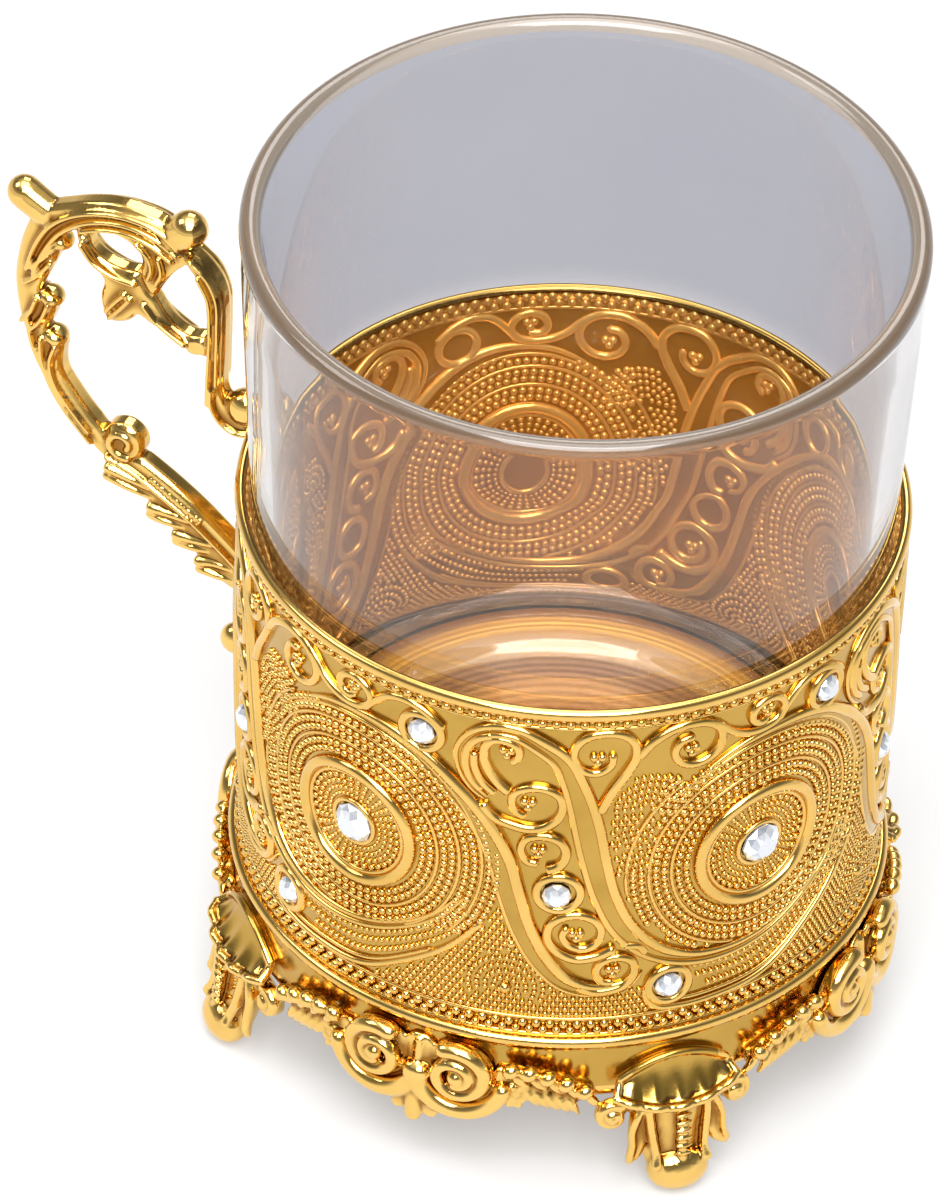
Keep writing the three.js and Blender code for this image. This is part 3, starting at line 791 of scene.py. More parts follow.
def gilt_material(name, bright, deep, polish, cloud_scale, skin, metal=1.0):
    """Gilt metal with its toning."""
    if name in bpy.data.materials:
        return bpy.data.materials[name]
    material, tree, shader = new_material(name)
    tone = node(tree, "ShaderNodeGroup", {
        "Bright": (*bright, 1), "Deep": (*deep, 1), "Cloud Scale": cloud_scale, "Polish": polish},
        node_tree=gilt_tone_group())
    bump = node(tree, "ShaderNodeBump", {
        "Height": tone.outputs["Height"], "Strength": skin, "Distance": SKIN_DEPTH})
    feed(tree, shader, {
        "Base Color": tone.outputs["Color"], "Roughness": tone.outputs["Roughness"],
        "Normal": bump.outputs[0], "Metallic": metal})
    return material


def polished_gilt():
    """Gilt of the wires, beads and rings."""
    colours = bpy.context.scene.holder_colours
    return gilt_material("Polished Gilt", colours.gilt, colours.gilt_deep, 0.06, 90, 0.03)


# Painted shade for a casting's folds, and the crests' tone: partly rubbed bright, partly painted
# highlight
FOLD_PAINTED_SHADE = (0.24, 0.09, 0.01)
CREST_WEAR_AND_PAINTED_HIGHLIGHT = (0.92, 0.62, 0.19)


def cast_gilt_painted_shade():
    """Polished gilt with painted shade in the folds of a casting and a lighter tone on its crests, partly
    rubbed bright and partly painted highlight.
    """
    if "Cast Gilt Painted Shade" in bpy.data.materials:
        return bpy.data.materials["Cast Gilt Painted Shade"]
    colours = bpy.context.scene.holder_colours
    material = gilt_material("Cast Gilt Painted Shade", colours.gilt, colours.gilt_deep, 0.06, 90, 0.03)
    tree = material.node_tree
    base = tree.nodes["Principled BSDF"].inputs["Base Color"]
    depth = node(tree, "ShaderNodeAttribute", attribute_name="fold").outputs["Fac"]
    # Paints shade into the folds and lightens the crests, by the casting's fold depth
    for deepest, share, tone in ((1.0, 0.9, FOLD_PAINTED_SHADE), (-1.0, 0.4, CREST_WEAR_AND_PAINTED_HIGHLIGHT)):
        painted_share = node(tree, "ShaderNodeMapRange", {"Value": depth, "From Max": deepest, "To Max": share})
        toned = base.links[0].from_socket
        tree.links.new(mixed_colour(tree, painted_share.outputs[0], toned, tone), base)
    return material


def ground_gilt_toned_and_painted_shade():
    """Darker gilt of the sleeve's ground and ribbons: partly toning, partly painted shade for the darker
    surroundings that the flat ground reflects.
    """
    colours = bpy.context.scene.holder_colours
    return gilt_material("Ground Gilt", colours.ground, colours.ground_deep, 0.14, 160, 0.06)


def inner_gilt_painted_shade():
    """Deep orange, less metallic gilt inside the sleeve: painted shade and the painted colour of gilt
    reflected in gilt.
    """
    return gilt_material("Inner Gilt Painted Shade", (0.54, 0.255, 0.04), (0.38, 0.15, 0.018), 0.16, 120, 0.05, 0.65)


def inner_relief_gilt_painted_highlight():
    """Brighter gilt of the relief inside the sleeve, a painted highlight against the painted shade of the
    inner ground.
    """
    bright, deep = (0.95, 0.56, 0.16), (0.85, 0.42, 0.08)
    return gilt_material("Inner Relief Gilt Painted Highlight", bright, deep, 0.12, 120, 0.03, 0.7)


# Painted reflections and shade on the base plate as seen through the thick glass floor, from its middle
# to its edge, by share of the sleeve's foot radius
PLATE_PAINTED_BANDS = [
    (0.2, (0.36, 0.21, 0.09)), (0.45, (0.3, 0.16, 0.06)), (0.58, (0.66, 0.42, 0.19)),
    (0.66, (0.27, 0.16, 0.11)), (0.74, (0.33, 0.19, 0.11)), (0.79, (0.82, 0.5, 0.11)),
    (0.86, (0.7, 0.38, 0.07)), (0.9, (0.26, 0.12, 0.045)),
]


def reach_from_axis(tree):
    """Distance of each point from the cup's axis, and its place from that axis."""
    spot = node(tree, "ShaderNodeTexCoord").outputs["Object"]
    to_axis = (-AXIS_X * MM, 0, 0)
    centred = node(tree, "ShaderNodeMapping", {"Vector": spot, "Location": to_axis}).outputs[0]
    flat = node(tree, "ShaderNodeVectorMath", {0: centred, 1: (1, 1, 0)}, operation="MULTIPLY").outputs[0]
    reach = node(tree, "ShaderNodeVectorMath", {0: flat}, operation="LENGTH").outputs["Value"]
    return reach, centred


def turned_gilt_painted_bands():
    """Gilt with the fine rings of turning about the cup's axis, and bands of painted reflection and shade
    with a bright outer band, as seen through the glass floor.
    """
    material = gilt_material("Turned Gilt Painted Bands", (0.56, 0.32, 0.09), (0.38, 0.19, 0.045), 0.2, 60, 0.25, 0.5)
    tree = material.node_tree
    base = tree.nodes["Principled BSDF"].inputs["Base Color"]
    bump = next(n for n in tree.nodes if n.type == "BUMP")
    reach, centred = reach_from_axis(tree)
    rings = node(tree, "ShaderNodeTexWave", {"Vector": centred, "Scale": 240.0, "Distortion": 0.4},
                 wave_type="RINGS", rings_direction="Z")
    tree.links.new(rings.outputs["Fac"], bump.inputs["Height"])
    band = node(tree, "ShaderNodeValToRGB", {0: maths(tree, "DIVIDE", reach, FOOT_RADIUS * MM)})
    stops = band.color_ramp.elements
    for place, tone in PLATE_PAINTED_BANDS:
        stops.new(place).color = (*tone, 1)
    stops.remove(stops[0])
    stops.remove(stops[-1])
    toned = base.links[0].from_socket
    tree.links.new(mixed_colour(tree, 0.75, toned, band.outputs[0]), base)
    return material


def smooth_share(tree, value, start, end, most):
    """A share that eases from 0 at one place in mm to its most at another."""
    return node(tree, "ShaderNodeMapRange", {
        "Value": value, "From Min": start * MM, "From Max": end * MM, "To Min": 0.0, "To Max": most},
        interpolation_type="SMOOTHSTEP").outputs[0]


# Tone and side where the glass is left nearly clear of its painted grey shade
CLEAR_GLASS = (0.93, 0.87, 0.81)
CLEAR_SIDE = (0.39, -0.92)


def tumbler_glass():
    """Clear glass with a slightly wavy skin, with painted grey shade at the back above the sleeve where
    the shaded backdrop shows through; the front and the part below the lip are left nearly clear.
    """
    material, tree, shader = new_material("Tumbler Glass")
    spot = node(tree, "ShaderNodeTexCoord").outputs["Object"]
    wave = node(tree, "ShaderNodeTexNoise", {"Vector": spot, "Scale": 14.0, "Detail": 1.0})
    bump = node(tree, "ShaderNodeBump", {"Height": wave.outputs[0], "Strength": 0.08, "Distance": 0.002})
    streak = node(tree, "ShaderNodeTexNoise", {"Vector": spot, "Scale": 30.0, "Detail": 2.0})
    share = node(tree, "ShaderNodeMapRange", {"Value": streak.outputs[0], "To Min": 0.0, "To Max": 0.12})
    place = node(tree, "ShaderNodeSeparateXYZ", {0: spot}).outputs
    low = smooth_share(tree, place[2], LIP_TOP + 6, LIP_TOP - 6, 0.9)
    across = maths(tree, "SUBTRACT", place[0], AXIS_X * MM)
    sideways = maths(tree, "MULTIPLY", across, CLEAR_SIDE[0])
    forward = maths(tree, "MULTIPLY_ADD", place[1], CLEAR_SIDE[1], sideways)
    front = smooth_share(tree, forward, -10, 32, 0.92)
    faint = maths(tree, "MAXIMUM", maths(tree, "MAXIMUM", share.outputs[0], low), front)
    tone = mixed_colour(tree, faint, bpy.context.scene.holder_colours.glass, CLEAR_GLASS)
    feed(tree, shader, {
        "Base Color": tone, "Normal": bump.outputs[0], "Roughness": 0, "IOR": 1.4,
        "Transmission Weight": 1})
    clear = node(tree, "ShaderNodeBsdfTransparent", {"Color": (0.9, 0.9, 0.9, 1)})
    lit = node(tree, "ShaderNodeMixShader", {
        0: node(tree, "ShaderNodeLightPath").outputs["Is Shadow Ray"],
        1: shader.outputs[0], 2: clear.outputs[0]})
    tree.links.new(lit.outputs[0], tree.nodes["Material Output"].inputs[0])
    return material


# Painted reflection of the gilt in the rim, at its outer and inner side
RIM_PAINTED_OUTER = (0.26, 0.155, 0.085)
RIM_PAINTED_INNER = (0.46, 0.38, 0.3)


def rim_glass():
    """Fire-polished rim, with the warm reflection of the gilt painted into its colour, lighter towards
    the inside.
    """
    material, tree, shader = new_material("Rim Glass")
    reach, _ = reach_from_axis(tree)
    inward = node(tree, "ShaderNodeMapRange", {
        "Value": reach, "From Min": GLASS_MOUTH * MM, "From Max": (GLASS_MOUTH - 2) * MM})
    tone = mixed_colour(tree, inward.outputs[0], RIM_PAINTED_OUTER, RIM_PAINTED_INNER)
    feed(tree, shader, {
        "Base Color": tone, "Roughness": 0.2, "IOR": 1.35, "Transmission Weight": 0.6, "Coat Weight": 1})
    return material


GREY_FACET = (0.35, 0.38, 0.44)


def foiled_stone():
    """Foil-backed stones: bright facets with a few grey ones."""
    material, tree, shader = new_material("Foiled Stone")
    facet = node(tree, "ShaderNodeAttribute", attribute_name="facet").outputs["Fac"]
    tone = mixed_colour(tree, facet, bpy.context.scene.holder_colours.stone, GREY_FACET)
    feed(tree, shader, {"Base Color": tone, "Roughness": 0.06, "Metallic": 0.55, "Coat Weight": 1})
    return material


# Pieces


def glass_radius(height):
    """Outer radius of the tapered tumbler at a height."""
    low, high = GLASS_FOOT + GLASS_FOOT_EDGE, GLASS_TOP - GLASS_RIM_EDGE
    taper = (GLASS_MOUTH - radius_at("glass_tumbler", low)) / (high - low)
    return GLASS_MOUTH - (GLASS_TOP - height) * taper


def build_tumbler():
    """The tumbler in one skin, with its rim in a finish of its own."""
    foot = glass_radius(GLASS_FOOT)
    profile = [
        (0, GLASS_FOOT + 0.35), (foot * 0.6, GLASS_FOOT + 0.3), (foot - 4.2, GLASS_FOOT + 0.05),
        (foot - 3.4, GLASS_FOOT),
    ]
    profile.extend(arc((foot - 1.6, GLASS_FOOT + 1.6), 1.6, -80, -5, 8))
    profile += [(glass_radius(z), z) for z in np.linspace(GLASS_FOOT + 2.4, GLASS_TOP - 2, 12)]
    round_edge = GLASS_WALL / 2
    profile.extend(arc((GLASS_MOUTH - round_edge, GLASS_TOP - round_edge), round_edge, 0, 180, 14))
    inner_heights = np.linspace(GLASS_TOP - 2, GLASS_FLOOR + 3.4, 12)
    profile += [(glass_radius(z) - GLASS_WALL, z) for z in inner_heights]
    inner = glass_radius(GLASS_FLOOR + 3) - GLASS_WALL
    profile.extend(arc((inner - 3, GLASS_FLOOR + 3), 3, 0, -85, 8))
    ring = GLASS_FLOOR_RING
    profile += [
        (ring + 1.2, GLASS_FLOOR), (ring + 0.6, GLASS_FLOOR + 0.45), (ring, GLASS_FLOOR + 0.5),
        (ring - 0.8, GLASS_FLOOR + 0.05), (inner * 0.5, GLASS_FLOOR + 0.02), (0, GLASS_FLOOR),
    ]
    piece = turned_piece("glass_tumbler_clear", profile, tumbler_glass())
    rim_foot = (GLASS_TOP - round_edge) * MM
    # The rim's finish carries a painted reflection of the gilt
    second_finish(piece, rim_glass(), [face.center.z > rim_foot for face in piece.data.polygons])
    settle(piece, ["glass_tumbler"], body="glass")


# Wires along the sleeve's borders, by height and half width
BORDER_WIRES = ((44.45, 0.22), (2.35, 0.24), (0.1, 0.3))

# Rows of border beads, by height and offset
BORDER_PITCH = 1.5
BORDER_ROWS = ((46.0, 0), (45.1, BORDER_PITCH / 2), (1.65, 0), (0.75, BORDER_PITCH / 2))
SEAM_HALF = 1.3
SHEET_INSET = 0.15


def build_sheet():
    """The plain rolled sheet, with its inner wall in a deeper finish of painted shade."""
    heights = np.linspace(0, SLEEVE_HEIGHT, 24)
    outer = [(wall_radius(up) - SHEET_INSET, SLEEVE_FOOT + up) for up in heights]
    thickness = size_mm("sheet")
    inner = [(radius - thickness, height) for radius, height in reversed(outer)]
    # The outer sheet takes the ground finish, toned and with painted shade
    sheet = turned_piece("sleeve_sheet", outer + inner, ground_gilt_toned_and_painted_shade())
    axis = Vector((AXIS_X * MM, 0, 0))
    inward = [face.normal.xy.dot((face.center - axis).xy) < 0 for face in sheet.data.polygons]
    second_finish(sheet, inner_gilt_painted_shade(), inward)
    settle(sheet, ["sleeve"])


def build_relief_lines(wrap):
    """Ribbons and wires on both sides of the sheet, and the strip over its seam."""
    tree = wire_tree(wrap)
    ground, polished = ground_gilt_toned_and_painted_shade(), polished_gilt()
    panel_ribbons, panel_wires, collars = panel_lines()
    low, high = seam_limits()
    steps = np.linspace(low, high, 360)
    level = [np.column_stack([steps, np.full(360, up), np.full(360, half)]) for up, half in BORDER_WIRES]
    ribbons = repeated(panel_ribbons)
    wires = repeated(panel_wires + collars) + level
    seam_heights = np.linspace(0.3, SLEEVE_HEIGHT - 0.3, 30)
    seam = [np.array([(low - SEAM_MARGIN, up, SEAM_HALF) for up in seam_heights])]
    # Ribbons take the ground finish with its painted shade; inside, painted shade on the ground and
    # painted highlight on the relief
    groups = {
        "sleeve_ribbons": (ribbons, bpy.context.scene.holder_sizes.ribbon_rise, 0.1, ground),
        "sleeve_wires": (wires, 1.15, 0.05, polished),
        "sleeve_inner_ribbons": (ribbons, 0.2, 0.45, inner_gilt_painted_shade()),
        "sleeve_inner_wires": (wires, 0.75, 0.45, inner_relief_gilt_painted_highlight()),
        "sleeve_seam": (seam, 0.35, 0.2, polished),
    }
    for name, (lines, rise, depth, gilt) in groups.items():
        values = {"Rise": rise, "Depth": depth, "Material": gilt}
        settle(grown_lines(name, lines, tree, values), ["sleeve"])


def build_relief_beads(wrap):
    """Border beads and the panels' beads, outside and, pressed through, inside."""
    tree = bead_tree(wrap)
    low, high = seam_limits()
    border = []
    for up, offset in BORDER_ROWS:
        border += [(across, up) for across in np.arange(low + offset, high, BORDER_PITCH)]
    beads = {"sleeve_border_beads": sized(border, size_mm("border_bead"))}
    for group, spots in panel_beads().items():
        beads[f"sleeve_{group}_beads"] = np.concatenate(repeated([spots]))
    # Beads inside take the finish with the painted highlight
    sides = (("", 1.15, 0.1, polished_gilt()), ("_inside", 0.7, 0.45, inner_relief_gilt_painted_highlight()))
    for name, spots in beads.items():
        for side, rise, depth, gilt in sides:
            values = {"Rise": rise, "Depth": depth, "Material": gilt}
            settle(grown_beads(name + side, spots, tree, values), ["sleeve"])


def build_sleeve():
    """The embossed sleeve: its sheet, its lines and its beads."""
    build_sheet()
    wrap = wrap_group()
    build_relief_lines(wrap)
    build_relief_beads(wrap)


def build_lip():
    """The rolled lip, oval in section."""
    inner = glass_radius(LIP_TOP) + 0.4
    outer = LIP_RADIUS + 0.16
    lip = arc((0, 0), 1, 0, 345, 24) * ((outer - inner) / 2, 0.7)
    lip += ((outer + inner) / 2, LIP_TOP - 0.62)
    piece = turned_piece("sleeve_lip_roll", lip, polished_gilt())
    settle(piece, ["sleeve_lip"])


def build_ring():
    """The base ring with its bead, its wall in the ground's finish, which is toned and carries painted
    shade.
    """
    wall = RING_BEAD - 1
    profile = [
        (wall - 1.3, RING_FOOT), (wall, RING_FOOT), (wall + 0.3, RING_FOOT + 0.4),
        (wall + 0.3, RING_FOOT + 1.0), (wall + 0.15, RING_FOOT + 1.4), (wall + 0.2, RING_FOOT + 4),
        (wall + 0.25, RING_FOOT + 6.6), (wall + 0.2, RING_FOOT + 7.0),
    ]
    profile.extend(arc((wall + 0.25, SLEEVE_FOOT - 0.62), 0.72, -70, 110, 12))
    profile += [
        (wall - 1.3, SLEEVE_FOOT - 0.05), (wall - 1.5, SLEEVE_FOOT - 0.4), (wall - 1.5, RING_FOOT + 0.3),
    ]
    ring = turned_piece("base_ring_turned", profile, polished_gilt())
    heights = [face.center.z / MM - RING_FOOT for face in ring.data.polygons]
    second_finish(ring, ground_gilt_toned_and_painted_shade(), [1.2 < height < 7 for height in heights])
    settle(ring, ["base_ring"])


def build_plate():
    """The base plate, a little dished inside its edge."""
    edge = PLATE_EDGE
    profile = [
        (0, PLATE_FOOT), (edge - 0.2, PLATE_FOOT), (edge, PLATE_FOOT + 0.2), (edge, PLATE_TOP - 0.2),
        (edge - 0.2, PLATE_TOP - 0.05), (edge - 3, PLATE_TOP - 0.05), (edge - 3.4, PLATE_TOP - 0.35),
        (edge * 0.5, PLATE_TOP - 0.35), (0, PLATE_TOP - 0.3),
    ]
    # The plate's finish carries bands of painted reflection and shade
    piece = turned_piece("base_plate_turned", profile, turned_gilt_painted_bands())
    settle(piece, ["base_plate"])


def build_rings():
    """The lip, the base ring and the base plate."""
    build_lip()
    build_ring()
    build_plate()


def brilliant(radius, height, sides):
    """A round stone facing out: table, two rows of facets and a girdle, in flat coordinates."""
    rows = [(1.0, 0.0, 0), (1.0, 0.22, 0), (0.8, 0.62, 0.5), (0.5, 1.0, 0)]
    verts = []
    for share, level, shift in rows:
        for k in range(sides):
            turn = 2 * math.pi * (k + shift) / sides
            reach = radius * share
            verts.append((reach * math.cos(turn), reach * math.sin(turn), height * level))
    faces = [list(range(3 * sides, 4 * sides)), list(range(sides - 1, -1, -1))]
    for row in range(3):
        low, high = row * sides, (row + 1) * sides
        for k in range(sides):
            j = (k + 1) % sides
            if row == 0:
                faces.append([low + k, low + j, high + j, high + k])
            elif row == 1:
                faces.append([low + k, low + j, high + k])
                faces.append([low + j, high + j, high + k])
            else:
                faces.append([low + k, low + j, high + j])
                faces.append([low + k, high + j, high + k])
    return np.array(verts), faces


def rolled(verts, azimuth, seat):
    """Flat points (across, up, out) set round the cup at an azimuth."""
    turn = math.radians(azimuth) + verts[:, 0] / seat
    radius = seat + verts[:, 2]
    return np.column_stack([radius * np.sin(turn), -radius * np.cos(turn), verts[:, 1]])


STONE_RISE = 1.0
LARGE_STONE_RISE = 1.25
STONE_LIFT = 0.1
STONE_SIDES = 10
STONE_SEED = 7


def build_stones():
    """Cut stones in the places of their CAD nodes."""
    material = foiled_stone()
    for name in sorted(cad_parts):
        if not name.startswith("stone_"):
            continue
        low, high = box_mm(name)
        middle = (low + high) / 2 - (AXIS_X, 0, 0)
        azimuth = math.degrees(math.atan2(middle[0], -middle[1]))
        rise = LARGE_STONE_RISE if name.startswith("stone_large") else STONE_RISE
        verts, faces = brilliant((high[2] - low[2]) / 2, rise, STONE_SIDES)
        seat = wall_radius(middle[2] - SLEEVE_FOOT) + STONE_LIFT
        verts = rolled(verts + (0, middle[2], 0), azimuth, seat)
        piece = make_piece(name + "_cut", verts, faces, material, smooth=False)
        shade = np.random.default_rng(STONE_SEED).random(len(faces)).astype(np.float32)
        piece.data.attributes.new("facet", "FLOAT", "FACE").data.foreach_set("value", shade**2)
        settle(piece, [name])


# Castings, in flat coordinates


def loft(rings):
    """A closed skin through rings of points, with a point at each end."""
    rings = [np.asarray(ring, float) for ring in rings]
    sides = len(rings[0])
    verts = np.concatenate([rings[0].mean(0)[None], *rings, rings[-1].mean(0)[None]])
    last = 1 + (len(rings) - 1) * sides
    faces = []
    for k in range(sides):
        j = (k + 1) % sides
        faces.append((0, 1 + j, 1 + k))
        for first in range(1, last, sides):
            faces.append((first + k, first + j, first + sides + j, first + sides + k))
        faces.append((len(verts) - 1, last + k, last + j))
    return verts, faces


def ball(centre, radii, tilt=0.0):
    """A rounded lump, turned in the wall's plane by tilt degrees."""
    around = np.linspace(0, 2 * np.pi, 20, endpoint=False)
    lean = math.radians(tilt)
    rings = []
    for lift in np.radians(np.linspace(-80, 80, 13)):
        x = radii[0] * np.cos(lift) * np.cos(around)
        y = radii[1] * np.cos(lift) * np.sin(around)
        across = centre[0] + x * math.cos(lean) - y * math.sin(lean)
        up = centre[1] + x * math.sin(lean) + y * math.cos(lean)
        out = np.full(len(around), centre[2] + radii[2] * np.sin(lift))
        rings.append(np.column_stack([across, up, out]))
    return loft(rings)


def bar(points, count=None, square=1.0):
    """A bar along points of (across, up, out, half width, half thickness), rounded at its ends."""
    path = spline(points, count or 7 * len(points))
    line, wide, thick = path[:, :3], np.maximum(path[:, 3], 0.05), np.maximum(path[:, 4], 0.05)
    ahead = np.gradient(line, axis=0)
    ahead /= np.linalg.norm(ahead, axis=1)[:, None]
    side = np.cross((0, 0, 1), ahead)
    side /= np.linalg.norm(side, axis=1)[:, None]
    face = np.cross(ahead, side)
    turn = np.linspace(0, 2 * np.pi, 14, endpoint=False)
    sine, cosine = (np.sign(v) * np.abs(v) ** square for v in (np.sin(turn), np.cos(turn)))

    def ring(i, share, shift):
        spread = np.outer(cosine * wide[i], side[i]) + np.outer(sine * thick[i], face[i])
        return line[i] + ahead[i] * shift * min(wide[i], thick[i]) + share * spread

    rings = [ring(0, 0.45, -0.9), ring(0, 0.85, -0.55)]
    rings += [ring(i, 1, 0) for i in range(len(line))]
    rings += [ring(-1, 0.85, 0.55), ring(-1, 0.45, 0.9)]
    return loft(rings)


def with_size(line, out, width, thickness):
    """A flat line with its place and size for a bar, each a number or its first and last values."""
    steps = len(line)

    def column(value):
        first, last = value if isinstance(value, tuple) else (value, value)
        return np.linspace(first, last, steps)

    return np.column_stack([np.asarray(line)[:, :2], column(out), column(width), column(thickness)])


def mirrored(shapes, flip=(-1, 1, 1)):
    """Shapes and their mirror images, across the middle where nothing else is said."""
    out = list(shapes)
    for verts, faces in shapes:
        out.append((verts * flip, [face[::-1] for face in faces]))
    return out


def fuse(shapes, passes=3, grain=1.0):
    """One skin round overlapping closed shapes, with its edges eased."""
    verts = []
    faces = []
    first = 0
    for points, corners in shapes:
        verts.append(points)
        faces.extend([tuple(first + i for i in face) for face in corners])
        first += len(points)
    mesh = bpy.data.meshes.new("casting")
    mesh.from_pydata(np.concatenate(verts).tolist(), [], faces)
    blank = bpy.data.objects.new("casting", mesh)
    bpy.context.scene.collection.objects.link(blank)
    skin = blank.modifiers.new("Skin", "REMESH")
    skin.mode = "VOXEL"
    skin.voxel_size = size_mm("voxel") * grain
    ease = blank.modifiers.new("Ease", "SMOOTH")
    ease.factor = 0.5
    ease.iterations = passes
    result = plain_mesh(blank)
    points = np.empty(3 * len(result.vertices), np.float32)
    corners = np.empty(len(result.loops), np.int32)
    result.vertices.foreach_get("co", points)
    result.loops.foreach_get("vertex_index", corners)
    if len(corners) != 4 * len(result.polygons):
        raise RuntimeError("a casting's skin isn't all quads")
    bpy.data.objects.remove(blank)
    bpy.data.meshes.remove(mesh)
    bpy.data.meshes.remove(result)
    return points.reshape(-1, 3).astype(float), corners.reshape(-1, 4)


FOLD_DEPTH = 0.16
FOLD_PASSES = 30


# This depth sets the cast gilt's painted shade in the folds and its lighter, partly painted crests
def folds(verts, faces):
    """Depth of a casting's points under its smoothed skin: 1 in a fold, 0 on the skin, -1 on a crest."""
    count = len(verts)
    starts = np.concatenate([faces[:, k] for k in range(4)])
    ends = np.concatenate([faces[:, (k + 1) % 4] for k in range(4)])
    neighbours = np.bincount(starts, minlength=count)
    skin = verts
    for _ in range(FOLD_PASSES):
        sums = [np.bincount(starts, skin[ends, axis], count) for axis in range(3)]
        skin = np.column_stack([total / neighbours for total in sums])
    corners = [verts[faces[:, k]] for k in range(4)]
    facing = np.cross(corners[2] - corners[0], corners[3] - corners[1])
    normals = np.zeros_like(verts)
    for k in range(4):
        np.add.at(normals, faces[:, k], facing)
    normals /= np.linalg.norm(normals, axis=1)[:, None]
    return np.clip(((skin - verts) * normals).sum(axis=1) / FOLD_DEPTH, -1, 1)


def cast_piece(name, points, faces, depth):
    """A finished casting in the place of its CAD node."""
    piece = make_piece(name + "_cast", points, faces, cast_gilt_painted_shade())
    # The fold depth drives the painted shade and the crests' painted highlight
    fold = piece.data.attributes.new("fold", "FLOAT", "POINT")
    fold.data.foreach_set("value", depth.astype(np.float32))
    settle(piece, [name])
    return piece


def slab(front, depth):
    """A curved leaf of metal from a grid of points on its face and the step to its back."""
    front = np.asarray(front, float)
    high, wide = front.shape[:2]
    verts = np.concatenate([front.reshape(-1, 3), (front + depth).reshape(-1, 3)])
    back = high * wide

    def at(i, j):
        return i * wide + j

    faces = []
    for i in range(high - 1):
        for j in range(wide - 1):
            corners = (at(i, j), at(i + 1, j), at(i + 1, j + 1), at(i, j + 1))
            faces.append(corners)
            faces.append(tuple(back + k for k in reversed(corners)))
    edge = [at(0, j) for j in range(wide)]
    edge += [at(i, wide - 1) for i in range(1, high)]
    edge += [at(high - 1, j) for j in range(wide - 2, -1, -1)]
    edge += [at(i, 0) for i in range(high - 2, 0, -1)]
    for k, m in zip(edge, edge[1:] + edge[:1]):
        faces.append((k, m, back + m, back + k))
    return verts, faces


def curl_bar(centre, radius, start, turns, out, width, thickness, eye):
    """A spiral bar with its eye, given as (radius, out)."""
    line = spiral(centre, radius, radius * 0.28, start, turns, 48)
    eye_radius, eye_out = eye
    return [bar(with_size(line, out, width, thickness), 60), ball((*centre, eye_out), [eye_radius] * 3)]


def shell_face(across, down):
    """A point of the foot's shell: across from -1 to 1, down from its top edge, 0, to its lip, 1."""
    ruffle = math.cos(5 * math.pi * across)
    up = (17.1 - 2.6 * across**2) * (1 - down) + (11.7 + 1.4 * across**2 + 0.15 * ruffle) * down
    out = 0.6 + (2.9 - 1.1 * across**2) * down**1.7 + 0.22 * ruffle * down**3
    return across * (6.0 + 0.6 * down), up, out


# Bars of the foot, along points of (across, up, out, half width, half thickness)
LEG = [
    (0, 11.4, 0.4, 5.0, 2.2), (0, 9, 0.6, 4.6, 2.2), (0, 6.5, 0.9, 4.1, 2.1), (0, 4.2, 1.4, 3.5, 2.2),
    (0, 2.6, 2.0, 3.1, 2.4),
]
LEG_RIDGE = [
    (0.1, 11.2, 2.5, 0.55, 0.6), (0.1, 9, 3.3, 0.55, 0.6), (0, 6, 3.7, 0.5, 0.6), (0, 4.6, 4.0, 0.4, 0.5),
]
LEG_EDGE = [
    (3.2, 11.4, 1.9, 0.5, 0.8), (3.0, 8.8, 2.4, 0.55, 0.8), (2.7, 6.4, 2.9, 0.5, 0.7),
    (2.5, 4.9, 3.5, 0.45, 0.6), (2.6, 4.0, 4.1, 0.55, 0.5),
]
LEG_LEAF = [
    (2.6, 12.0, 0.9, 1.4, 0.9), (3.5, 10.2, 1.3, 1.35, 0.8), (4.0, 8.2, 1.6, 1.2, 0.8),
    (4.1, 6.4, 1.9, 1.0, 0.7), (4.5, 4.9, 2.4, 0.65, 0.6), (5.2, 4.3, 2.8, 0.4, 0.45),
]
LEG_LEAF_RIB = [
    (3.4, 11.8, 1.5, 0.4, 0.6), (4.3, 10.0, 2.0, 0.45, 0.7), (4.9, 8.0, 2.3, 0.42, 0.7),
    (4.9, 6.2, 2.6, 0.42, 0.7), (5.2, 4.9, 3.0, 0.4, 0.55),
]
LEG_ARM = [(3.2, 11.0, 0.5, 1.0, 1.0), (5.8, 10.6, 0.6, 0.9, 0.9)]
FOOT_CURL = (6.9, 9.9)


